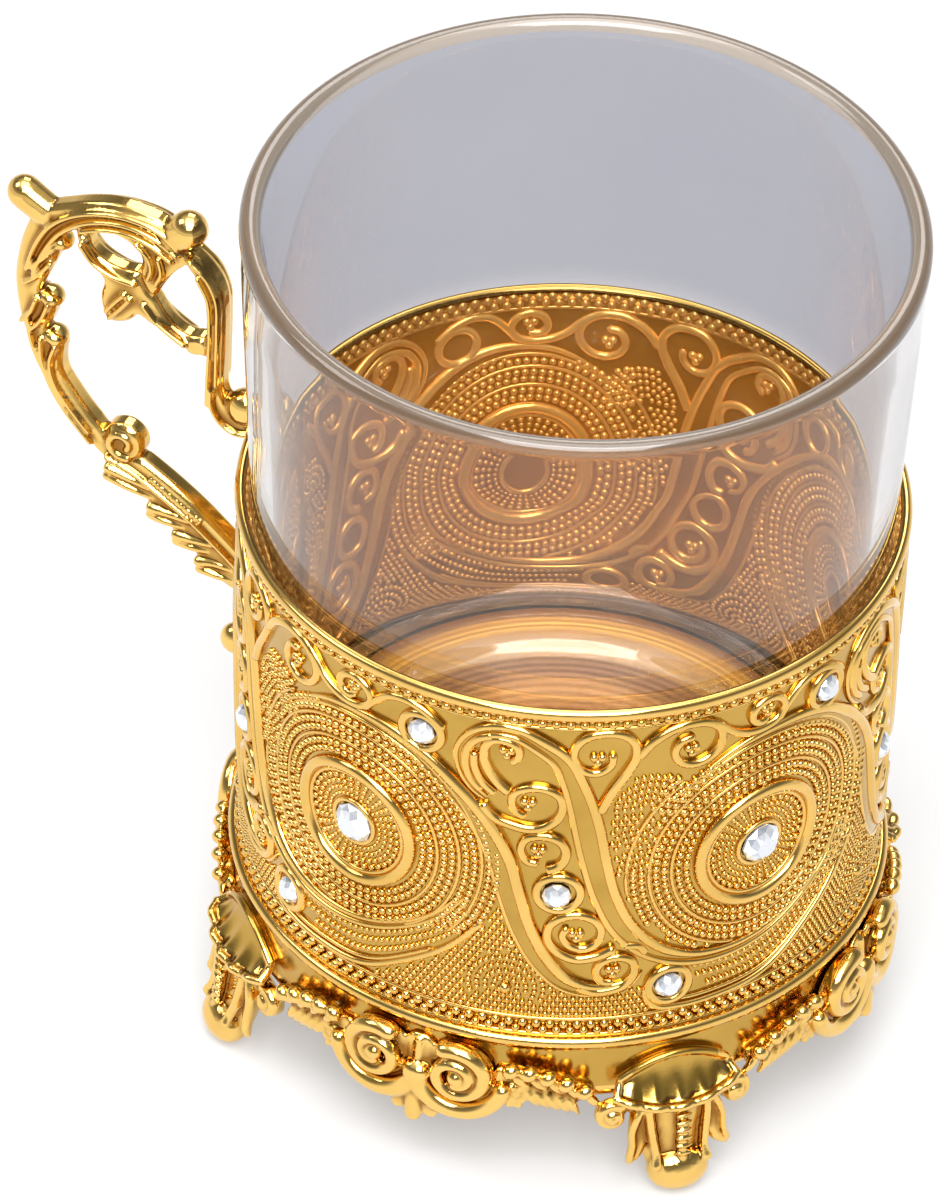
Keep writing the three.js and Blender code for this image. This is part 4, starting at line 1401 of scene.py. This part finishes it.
def build_feet():
    """Four cast feet: a ruffled shell over a carved leg with its leaves, curls and toe."""
    wide = np.linspace(-1, 1, 61)
    shell = [[shell_face(across, down) for across in wide] for down in np.linspace(0, 1, 15)]
    lip = [(*shell_face(across, 1), 0.5, 0.55) for across in wide]
    rim = [(*shell_face(across, 0), 0.45, 0.6) for across in np.linspace(-1, 1, 21)]
    shapes = [slab(shell, (0, 0.2, -0.9)), bar(lip, 122), bar(rim, 40)]
    for side in (-1, 1):
        shapes.append(bar([(*shell_face(side, down), 0.42, 0.5) for down in np.linspace(0, 1, 9)], 18))
    toe = ball((0, 2.45, 2.75), (3.3, 2.75, 2.55))
    shell_back = ball((0, 13.4, 0), (5.2, 3.2, 0.8))
    shapes += [toe, shell_back, bar(LEG, 36, 1.2), bar(LEG_RIDGE)]
    notches = np.arange(5.4, 10.8, 1.05)
    shapes += [ball((0.1, up, 4.1 - 0.06 * (up - 6)), (0.95, 0.24, 0.4)) for up in notches]
    half = [
        bar(LEG_EDGE, 40), bar(LEG_LEAF, 40), bar(LEG_LEAF_RIB, 40), bar(LEG_ARM),
        ball((*FOOT_CURL, 0.6), (1.75, 1.75, 0.9)),
        *curl_bar(FOOT_CURL, 1.65, 130, -1.3, (1.1, 1.6), (0.62, 0.5), 0.9, (0.75, 1.9)),
    ]
    verts, faces = fuse(shapes + mirrored(half), 2, 0.85)
    verts[:, 1] = np.maximum(verts[:, 1], 0)
    # The shell's hollow takes the ground finish, darker for painted shade as well as toning
    in_shell = (verts[:, 1] > 12.6) & (np.abs(verts[:, 0]) < 5)
    shell_painted_shade = in_shell[faces].all(axis=1)
    depth = folds(verts, faces)
    for i, azimuth in enumerate(FOOT_AZIMUTHS, 1):
        piece = cast_piece(f"foot_{i}", rolled(verts, azimuth, SEAT_RADIUS), faces, depth)
        second_finish(piece, ground_gilt_toned_and_painted_shade(), shell_painted_shade)


SCROLL_MIDDLE = (4.6, 14.5)
SCROLL_LEAF = [(0.6, 12.0, 1.0, 0.5, 0.6), (1.2, 9.8, 1.3, 0.85, 0.8), (1.9, 8.1, 1.4, 0.85, 0.7)]
SCROLL_DROP = [(0, 12.4, 1.2, 0.6, 0.7), (0, 9.7, 1.6, 0.95, 0.9), (0, 7.4, 1.8, 0.95, 0.8)]
SCROLL_VEIN = [(0, 17.2, 0.7, 0.45, 0.5), (0, 13.2, 1.0, 0.35, 0.5)]


def build_scrolls():
    """Four cast double volutes with a drop leaf between them."""
    half = [
        ball((*SCROLL_MIDDLE, 0.5), (3.9, 3.9, 0.7)),
        *curl_bar(SCROLL_MIDDLE, 3.55, 115, -1.6, (1.5, 2.0), (0.95, 0.55), (1.2, 0.9), (0.95, 2.1)),
        bar(with_size(arc(SCROLL_MIDDLE, 5.0, -165, -15, 24), 1.0, (1.5, 1.1), 1.6), 40),
        bar(SCROLL_LEAF),
    ]
    shapes = mirrored(half)
    shapes += [bar(SCROLL_DROP), ball((0, 14.6, 0.3), (2.6, 3.4, 0.7)), bar(SCROLL_VEIN)]
    verts, faces = fuse(shapes)
    depth = folds(verts, faces)
    for i, azimuth in enumerate(SCROLL_AZIMUTHS, 1):
        cast_piece(f"scroll_mount_{i}", rolled(verts, azimuth, SEAT_RADIUS), faces, depth)


GARLAND_STEM = [(8.7, 14.0, 0.3, 1.7, 0.6), (13.5, 13.4, 0.3, 1.6, 0.6), (18.6, 12.6, 0.3, 1.2, 0.6)]
GARLAND_LEAVES = 5
BERRY_ROWS = [(13.6, 3), (12.8, 4), (12.0, 3), (11.2, 2)]


def garland_shapes():
    """Leaves, their lower row and a bunch of berries on one stem."""
    shapes = [bar(GARLAND_STEM)]
    for k in range(GARLAND_LEAVES):
        across, up = 10.2 + 1.95 * k, 16.3 - 0.16 * k * k
        low = 14.0 - 0.25 * k
        shapes.append(ball((across, up, 1.5), (1.0, 0.85, 0.95), 35))
        shapes.append(bar([
            (across + 0.1, up - 0.5, 1.1, 0.5, 0.6), (across + 1.1, up - 1.7, 1.2, 0.5, 0.5),
            (across + 1.9, up - 2.6, 0.9, 0.25, 0.3)]))
        shapes.append(bar([
            (11.4 + 1.15 * k, low, 0.8, 0.35, 0.4), (12.5 + 1.1 * k, low - 1.6, 1.1, 0.5, 0.55),
            (13.3 + 1.05 * k, low - 2.9, 0.8, 0.22, 0.3)]))
    for row, (height, berries) in enumerate(BERRY_ROWS):
        for k in range(berries):
            across = 10.3 + 0.95 * (k - (berries - 1) / 2) + 0.12 * row
            shapes.append(ball((across, height, 0.9), (0.5, 0.5, 0.65)))
    return shapes


def build_garlands():
    """Eight cast leaf garlands, a left and a right one at each scroll."""
    verts, faces = fuse(garland_shapes(), 2)
    depth = folds(verts, faces)
    number = 0
    for azimuth in SCROLL_AZIMUTHS:
        for side in (-1, 1):
            number += 1
            corners = faces if side > 0 else faces[:, ::-1]
            points = rolled(verts * (side, 1, 1), azimuth, SEAT_RADIUS)
            cast_piece(f"leaf_garland_{number}", points, corners, depth)


# The handle, as (reach from the axis, up from the sleeve's foot)

HANDLE_HALF = 1.35
HANDLE_BITE = 0.1
HANDLE_PLATES = {
    "arm": [
        (41.4, 47.5), (41.3, 51.5), (41.3, 55.5), (41.5, 59.5), (42.5, 61.7), (44.3, 63.5), (46.1, 64.3),
        (46.2, 62.3), (44.7, 60.8), (43.7, 58), (43.5, 55.5), (43.5, 53), (43.3, 50), (43.3, 46.5),
        (43.2, 44.5), (42.3, 42.7), (40.9, 41.3), (39.3, 40.7), (37.3, 40.9), (37.3, 42.9), (39.2, 43.1),
        (40.3, 44.2), (41.2, 46),
    ],
    "arch": [
        (45.9, 63.9), (48.1, 67.1), (52.3, 67.8), (55.3, 67.6), (58.3, 66.6), (61.3, 65.1), (64, 63.8),
        (63.9, 61.5), (62.1, 61), (60.1, 61.6), (59.2, 62.4), (57.6, 62.1), (56.8, 63), (55.3, 63.5),
        (53.3, 63.2), (51.9, 62.4), (51.1, 61), (51.7, 59.4), (50.7, 57.3), (49.6, 56.4), (48.6, 58.7),
        (47.3, 61), (46.2, 62.3), (45.1, 62.5),
    ],
    "palmette": [
        (43, 52.1), (43.9, 53.1), (45.6, 52.5), (47.3, 53.3), (48.6, 54.8), (49.6, 56.5), (50.7, 57.3),
        (51.7, 59.4), (53.3, 58.9), (55.8, 59.3), (57.3, 60.5), (57.6, 62.1), (59.2, 62.4), (59, 61.1),
        (58.5, 59.5), (57.3, 58.2), (56.1, 57.3), (55.7, 56.3), (56.2, 54.3), (55.9, 52.7), (55.5, 51.4),
        (54.6, 51.2), (53.1, 51.7), (52.2, 52.5), (51.6, 53.5), (50.5, 52.8), (48.9, 52.2), (46.9, 51.9),
        (45.9, 50.9), (44.5, 50.3), (43, 50.4),
    ],
    "spine": [
        (62.5, 64.9), (64.3, 63.1), (65.6, 59.5), (66.3, 55.5), (66.4, 52.5), (65.9, 49), (64.9, 45.5),
        (63.2, 42), (61.1, 38.5), (58.3, 34.8), (55.3, 31.5), (53.9, 33.1), (55.6, 35.8), (57.3, 37.5),
        (59.3, 40.1), (60.5, 41.9), (60.6, 44), (60.3, 45.9), (61.9, 46.4), (62.6, 46.9), (61.7, 49),
        (61.3, 51.3), (63.1, 51.9), (63.3, 52.7), (61.9, 56), (61.2, 58), (61, 59.9), (60.6, 60.9),
        (59.6, 62.1),
    ],
    "feathers": [
        (55.3, 32.1), (53.1, 32.9), (50.9, 33.4), (49.3, 32.6), (46.3, 30.8), (43.3, 28.7), (40.3, 26.2),
        (37.9, 24.1), (36.5, 21.5), (36.5, 17.7), (39.3, 18.8), (41.3, 19.6), (43.1, 20.2), (44, 21.1),
        (43.5, 22.2), (44.8, 22.5), (46.2, 23.2), (46.9, 24.1), (46.3, 25), (47.8, 25.1), (49.2, 25.5),
        (50, 26.5), (49.4, 27.7), (51.3, 28), (53.9, 29), (55.3, 30.2),
    ],
}
HANDLE_RIBS = [
    [(46.8, 64.7), (48.8, 66.2), (52.3, 66.8), (56.3, 66.2), (59.3, 64.8), (61.9, 62.5), (63.7, 59.1),
     (64.7, 55.5)],
    [(46.9, 63.7), (49.3, 65.1), (52.3, 65.7), (55.8, 65.2), (58.5, 63.9), (60.9, 61.7), (62.7, 58.5),
     (63.9, 55.1)],
    [(47.5, 62.7), (49.9, 64.1), (53.3, 64.6), (55.9, 64.1), (58.3, 63)],
    [(50.2, 59.3), (49.8, 60.9), (50.4, 62.5), (51.7, 63.6)],
    [(49.2, 58.9), (48.6, 60.7), (49, 62.5)],
    [(41.8, 47.5), (41.8, 51.5), (41.8, 55.5), (42.1, 59.5), (43.3, 61.9), (45.3, 63.5)],
    [(42.8, 44.5), (42.8, 47.5), (42.7, 51.5), (42.7, 55.5), (43, 58.9), (44.3, 61.5)],
    [(37.9, 41.9), (39.5, 41.7), (41.1, 42.5), (42.2, 44.1), (42.4, 46.5)],
    [(61.5, 59.5), (62.7, 57.7), (64.3, 55.9)], [(61.9, 57.1), (63.3, 55.1), (64.9, 53.5)],
    [(62.1, 51.1), (62.9, 48.9), (64.3, 46.9)], [(63.5, 51.5), (64.2, 49.5), (65.2, 48.1)],
    [(61.2, 45.5), (61.7, 43.5), (61.3, 41.1), (59.5, 38.3), (56.9, 35.3)],
    [(62.9, 46.1), (62.7, 43.5), (61.7, 40.5), (59.7, 37.3), (56.7, 33.9)],
    [(64.5, 48.9), (63.9, 45.5), (62.3, 41.9), (59.9, 38.1)],
    [(54.7, 32.5), (51.9, 31.7), (48.7, 29.9), (44.7, 27.5), (41.3, 24.9), (38.7, 22.7)],
    [(52.3, 55.7), (53.2, 54.3), (54.7, 52.3)], [(53.0, 56.1), (53.9, 54.9), (55.1, 53.1)],
    [(45.7, 51.7), (47.7, 52.8), (49.3, 53.9), (50.7, 55.5)],
    [(51.9, 57.9), (54.3, 58.1), (56.9, 59.3), (58.3, 61.1)],
]
HANDLE_FEATHERS = [
    [(48.3, 29.5), (51.3, 30.2), (54.5, 31)], [(49.3, 28.5), (52.3, 29.1), (54.6, 29.9)],
    [(44.1, 26.7), (46.8, 27.1), (49.3, 27.3)], [(45.5, 25.7), (47.8, 25.9), (49.3, 26.4)],
    [(41.5, 24.5), (43.8, 24.5), (46.2, 24.6)], [(42.5, 23.4), (44.3, 23.4), (46.1, 23.8)],
    [(39.6, 21.8), (41.8, 22.1), (43.4, 21.8)], [(39.3, 20.3), (41.3, 20.5), (43.2, 20.9)],
]
HANDLE_STEM = [(38.4, 23), (37.4, 20), (36.9, 17), (37.1, 14), (38.4, 12)]
HANDLE_CURL = (53, 34.8)
HANDLE_BOSS = (44.9, 51.4)
HANDLE_ENDS = [((39.3, 11.2, 0), (1.8, 1.9, 1.6)), ((38.9, 44.5, 0), (2.2, 2.2, 1.9))]
KNOB_STEMS = [
    [(48.4, 64.8, 0, 2.0, 1.8), (46.5, 66.3, 0, 2.2, 2.1)],
    [(63.0, 63.0, 0, 2.0, 1.8), (65.5, 64.5, 0, 2.0, 1.9)],
]
KNOBS = [((46.2, 66.6, 0), (2.2, 2.2, 2.1)), ((65.8, 64.7, 0), (1.95, 1.95, 1.9))]
LEAF_TIPS = [(61.7, 46.2), (62.3, 51.5), (61.3, 59.8)]
GRAIN_START, GRAIN_END = (49.4, 31.2), (43.4, 27.5)


def eased(outline):
    """A closed outline with its corners cut twice."""
    points = np.asarray(outline, float)
    for _ in range(2):
        ahead = np.roll(points, -1, axis=0)
        near, far = points * 0.75 + ahead * 0.25, points * 0.25 + ahead * 0.75
        points = np.stack([near, far], axis=1).reshape(-1, 2)
    return points


def plate(outline, half, bevel=0.55):
    """A flat plate of an outline, with bevelled edges."""
    edge = eased(outline)
    ahead = np.roll(edge, -1, axis=0) - np.roll(edge, 1, axis=0)
    area = np.sum(edge[:, 0] * np.roll(edge[:, 1], -1) - edge[:, 1] * np.roll(edge[:, 0], -1))
    if area < 0:
        edge, ahead = edge[::-1], -ahead[::-1]
    ahead /= np.linalg.norm(ahead, axis=1)[:, None]
    drawn_in = edge + np.column_stack([-ahead[:, 1], ahead[:, 0]]) * bevel
    rings = ((drawn_in, -half), (edge, bevel - half), (edge, half - bevel), (drawn_in, half))
    count = len(edge)
    verts = np.concatenate([np.column_stack([ring, np.full(count, out)]) for ring, out in rings])
    faces = [tuple(range(count - 1, -1, -1)), tuple(range(3 * count, 4 * count))]
    for first in range(0, 3 * count, count):
        for k in range(count):
            j = (k + 1) % count
            faces.append((first + k, first + j, first + count + j, first + count + k))
    return verts, faces


def disc(centre, radius, half):
    """A round flat boss that faces both sides of the handle."""
    return plate(arc(centre, radius, 0, 342, 20), half)


def handle_face():
    """Ribs, veins and grain on one face of the handle."""
    ribs = [with_size(spline(line, 8 * len(line)), HANDLE_HALF, 0.34, 0.7) for line in HANDLE_RIBS]
    rising = (HANDLE_HALF - 0.6, HANDLE_HALF)
    ribs += [with_size(spline(line, 24), rising, (0.45, 0.62), (0.8, 0.75)) for line in HANDLE_FEATHERS]
    ribs.append(with_size(spiral(HANDLE_CURL, 1.9, 0.8, 250, 0.9, 36), HANDLE_HALF, (0.5, 0.42), 0.5))
    shapes = [bar(rib, len(rib)) for rib in ribs]
    for share in np.linspace(0, 1, 14):
        spot = np.array(GRAIN_START) + share * (np.array(GRAIN_END) - GRAIN_START)
        shapes.append(ball((*spot, HANDLE_HALF), (0.3, 0.3, 0.4)))
    return shapes


def build_handle():
    """The openwork handle in one casting, cut to the sleeve's wall."""
    shapes = [plate(outline, HANDLE_HALF) for outline in HANDLE_PLATES.values()]
    shapes += [disc(HANDLE_CURL, 2.5, HANDLE_HALF), disc(HANDLE_BOSS, 1.3, HANDLE_HALF)]
    shapes += [ball((*spot, 0), (1.5, 0.95, HANDLE_HALF + 0.3), 18) for spot in LEAF_TIPS]
    shapes.append(bar(with_size(spline(HANDLE_STEM, 40), 0, (1.3, 1.0), 1.4), 40, 0.8))
    shapes += [ball(centre, radii) for centre, radii in HANDLE_ENDS]
    shapes += [bar(stem, 14) for stem in KNOB_STEMS]
    shapes += [ball(centre, radii) for centre, radii in KNOBS]
    shapes += mirrored(handle_face(), (1, 1, -1))
    verts, faces = fuse(shapes, 1, 0.9)
    depth = folds(verts, faces)
    verts[:, 0] = np.maximum(verts[:, 0], wall_radius(verts[:, 1]) - HANDLE_BITE)
    points = np.column_stack([-verts[:, 0], verts[:, 2], verts[:, 1] + SLEEVE_FOOT])
    cast_piece("handle", points, faces, depth)


# Stage, with its floor and lamps in metres

FLOOR_HALF = 3.0
FLOOR_DROP = 0.0002
FLOOR_WHITE = 0.4
WORLD_LEVEL = 0.4

# Brightness of the studio as metal and glass see it, by height
STUDIO_LEVELS = ((0.04, 1.0), (0.25, 0.35), (0.6, 0.16), (0.8, 0.6), (0.92, 1.0))

# Lamps: azimuth, elevation, size and power
LAMPS = {
    "key": (22, 52, 0.6, 9.5),
    "side": (-70, 45, 0.35, 1.8),
    "back": (195, 50, 0.4, 2.0),
    "top": (20, 82, 0.7, 5.2),
}
LAMP_DISTANCE = 0.9
LAMP_TARGET = 0.05

# Camera: lens in mm, angles in degrees, and its target in mm from the sleeve's foot before its turn
CAMERA_LENS = 450
CAMERA_SENSOR = 36
CAMERA_CLIP = 20
CAMERA_LIFT = 40.66
CAMERA_ROLL = 2.38
CAMERA_TURN = 23
CAMERA_TARGET = (-10.73, 0, 31.22)
CAMERA_DISTANCE = 1623


def seen_directly(tree):
    """1 for rays from the camera, or by way of metal and glass, and 0 for light on the object."""
    path = node(tree, "ShaderNodeLightPath").outputs
    by_way = maths(tree, "MAXIMUM", path["Is Glossy Ray"], path["Is Transmission Ray"])
    return maths(tree, "MAXIMUM", path["Is Camera Ray"], by_way)


def make_floor():
    """A plain pale floor that keeps the object's shadow."""
    scene = bpy.context.scene
    material, tree, shader = new_material("Pale Floor")
    feed(tree, shader, {"Base Color": (*scene.holder_colours.floor, 1), "Roughness": 0.6})
    white = node(tree, "ShaderNodeEmission", {"Color": (1, 1, 1, 1), "Strength": 1.0})
    share = maths(tree, "MULTIPLY", seen_directly(tree), FLOOR_WHITE)
    mixed = node(tree, "ShaderNodeMixShader", {0: share, 1: shader.outputs[0], 2: white.outputs[0]})
    tree.links.new(mixed.outputs[0], tree.nodes["Material Output"].inputs[0])
    half = FLOOR_HALF
    corners = [(-half, -half, 0), (half, -half, 0), (half, half, 0), (-half, half, 0)]
    mesh = bpy.data.meshes.new("floor")
    mesh.from_pydata(corners, [], [(0, 1, 2, 3)])
    mesh.materials.append(material)
    floor = bpy.data.objects.new("floor", mesh)
    floor.location.z = -FLOOR_DROP
    scene.collection.objects.link(floor)


def make_world():
    """A white studio with a darker band, which metal and glass show."""
    world = bpy.data.worlds.new("Studio")
    bpy.context.scene.world = world
    world.use_nodes = True
    tree = world.node_tree
    background = tree.nodes["Background"]
    upward = node(tree, "ShaderNodeTexCoord").outputs["Generated"]
    height = node(tree, "ShaderNodeSeparateXYZ", {0: upward}).outputs[2]
    ramp = node(tree, "ShaderNodeValToRGB", {0: height})
    stops = ramp.color_ramp.elements
    for place, level in STUDIO_LEVELS:
        stops.new(place).color = (level, level, level, 1)
    stops.remove(stops[0])
    strength = node(tree, "ShaderNodeMix", {
        "Factor": seen_directly(tree), 2: WORLD_LEVEL, 3: ramp.outputs[0]}, data_type="FLOAT")
    feed(tree, background, {"Color": (1, 1, 1, 1), "Strength": strength.outputs[0]})


def make_lamps():
    """Soft square lamps that face the cup."""
    target = Vector((AXIS_X * MM, 0, LAMP_TARGET))
    for name, (azimuth, elevation, size, power) in LAMPS.items():
        light = bpy.data.lights.new(name, "AREA")
        light.energy = power
        light.size = size
        turn, lift = math.radians(azimuth), math.radians(elevation)
        level = math.cos(lift)
        away = Vector((math.sin(turn) * level, -math.cos(turn) * level, math.sin(lift)))
        lamp = bpy.data.objects.new(name, light)
        lamp.location = target + away * LAMP_DISTANCE
        lamp.rotation_euler = away.to_track_quat("Z", "Y").to_euler()
        bpy.context.scene.collection.objects.link(lamp)


def make_camera():
    """The camera at the photograph's angle."""
    scene = bpy.context.scene
    camera = bpy.data.objects.new("camera", bpy.data.cameras.new("camera"))
    camera.data.lens = CAMERA_LENS
    camera.data.sensor_width = CAMERA_SENSOR
    camera.data.clip_end = CAMERA_CLIP
    lift, roll = math.radians(CAMERA_LIFT), math.radians(CAMERA_ROLL)
    back = Vector((0, -math.cos(lift), math.sin(lift)))
    right = Vector((1, 0, 0))
    up = back.cross(right)
    rolled_right = right * math.cos(roll) + up * math.sin(roll)
    rolled_up = up * math.cos(roll) - right * math.sin(roll)
    spin = Matrix.Rotation(math.radians(CAMERA_TURN), 3, "Z")
    place = spin @ (Vector(CAMERA_TARGET) + back * CAMERA_DISTANCE) + Vector((AXIS_X, 0, SLEEVE_FOOT))
    pose = (spin @ Matrix((rolled_right, rolled_up, back)).transposed()).to_4x4()
    pose.translation = place * MM
    camera.matrix_world = pose
    scene.collection.objects.link(camera)
    scene.camera = camera


def build_stage():
    """Floor, studio, lamps and camera."""
    bpy.context.scene.view_settings.view_transform = "Standard"
    make_floor()
    make_world()
    make_lamps()
    make_camera()


# Operators and panel


class TEAGLASS_OT_tumbler(bpy.types.Operator):
    """Make the glass tumbler"""

    bl_idname = "teaglass.tumbler"
    bl_label = "Glass tumbler"

    def execute(self, context):
        build_tumbler()
        return {"FINISHED"}


class TEAGLASS_OT_sleeve(bpy.types.Operator):
    """Make the embossed sleeve with its ribbons, wires and beads"""

    bl_idname = "teaglass.sleeve"
    bl_label = "Embossed sleeve"

    def execute(self, context):
        build_sleeve()
        return {"FINISHED"}


class TEAGLASS_OT_rings(bpy.types.Operator):
    """Make the lip, the base ring and the base plate"""

    bl_idname = "teaglass.rings"
    bl_label = "Lip, base ring and plate"

    def execute(self, context):
        build_rings()
        return {"FINISHED"}


class TEAGLASS_OT_stones(bpy.types.Operator):
    """Make the cut stones"""

    bl_idname = "teaglass.stones"
    bl_label = "Stones"

    def execute(self, context):
        build_stones()
        return {"FINISHED"}


class TEAGLASS_OT_feet(bpy.types.Operator):
    """Make the cast feet"""

    bl_idname = "teaglass.feet"
    bl_label = "Feet"

    def execute(self, context):
        build_feet()
        return {"FINISHED"}


class TEAGLASS_OT_scrolls(bpy.types.Operator):
    """Make the cast scroll mounts"""

    bl_idname = "teaglass.scrolls"
    bl_label = "Scroll mounts"

    def execute(self, context):
        build_scrolls()
        return {"FINISHED"}


class TEAGLASS_OT_garlands(bpy.types.Operator):
    """Make the cast leaf garlands"""

    bl_idname = "teaglass.garlands"
    bl_label = "Leaf garlands"

    def execute(self, context):
        build_garlands()
        return {"FINISHED"}


class TEAGLASS_OT_handle(bpy.types.Operator):
    """Make the cast openwork handle"""

    bl_idname = "teaglass.handle"
    bl_label = "Handle"

    def execute(self, context):
        build_handle()
        return {"FINISHED"}


class TEAGLASS_OT_stage(bpy.types.Operator):
    """Make the floor, the light and the camera"""

    bl_idname = "teaglass.stage"
    bl_label = "Stage"

    def execute(self, context):
        build_stage()
        return {"FINISHED"}


OPERATORS = (
    TEAGLASS_OT_tumbler, TEAGLASS_OT_sleeve, TEAGLASS_OT_rings, TEAGLASS_OT_stones, TEAGLASS_OT_feet,
    TEAGLASS_OT_scrolls, TEAGLASS_OT_garlands, TEAGLASS_OT_handle, TEAGLASS_OT_stage,
)


class TEAGLASS_PT_panel(bpy.types.Panel):
    """Sizes, colours and pieces of the tea-glass holder"""

    bl_label = "Tea Glass Holder"
    bl_idname = "TEAGLASS_PT_panel"
    bl_space_type = "VIEW_3D"
    bl_region_type = "UI"
    bl_category = "Tea Glass"

    def draw(self, context):
        for group in (context.scene.holder_sizes, context.scene.holder_colours):
            for name in group.__annotations__:
                self.layout.prop(group, name)
        for operator in OPERATORS:
            self.layout.operator(operator.bl_idname)


CLASSES = (HolderSizes, HolderColours, *OPERATORS, TEAGLASS_PT_panel)


def register():
    for cls in CLASSES:
        bpy.utils.register_class(cls)
    bpy.types.Scene.holder_sizes = PointerProperty(type=HolderSizes)
    bpy.types.Scene.holder_colours = PointerProperty(type=HolderColours)


def unregister():
    del bpy.types.Scene.holder_colours
    del bpy.types.Scene.holder_sizes
    for cls in reversed(CLASSES):
        bpy.utils.unregister_class(cls)


def main():
    """Makes all pieces and the stage."""
    register()
    bpy.ops.teaglass.tumbler()
    bpy.ops.teaglass.sleeve()
    bpy.ops.teaglass.rings()
    bpy.ops.teaglass.stones()
    bpy.ops.teaglass.feet()
    bpy.ops.teaglass.scrolls()
    bpy.ops.teaglass.garlands()
    bpy.ops.teaglass.handle()
    bpy.ops.teaglass.stage()


if __name__ == "__main__":
    main()
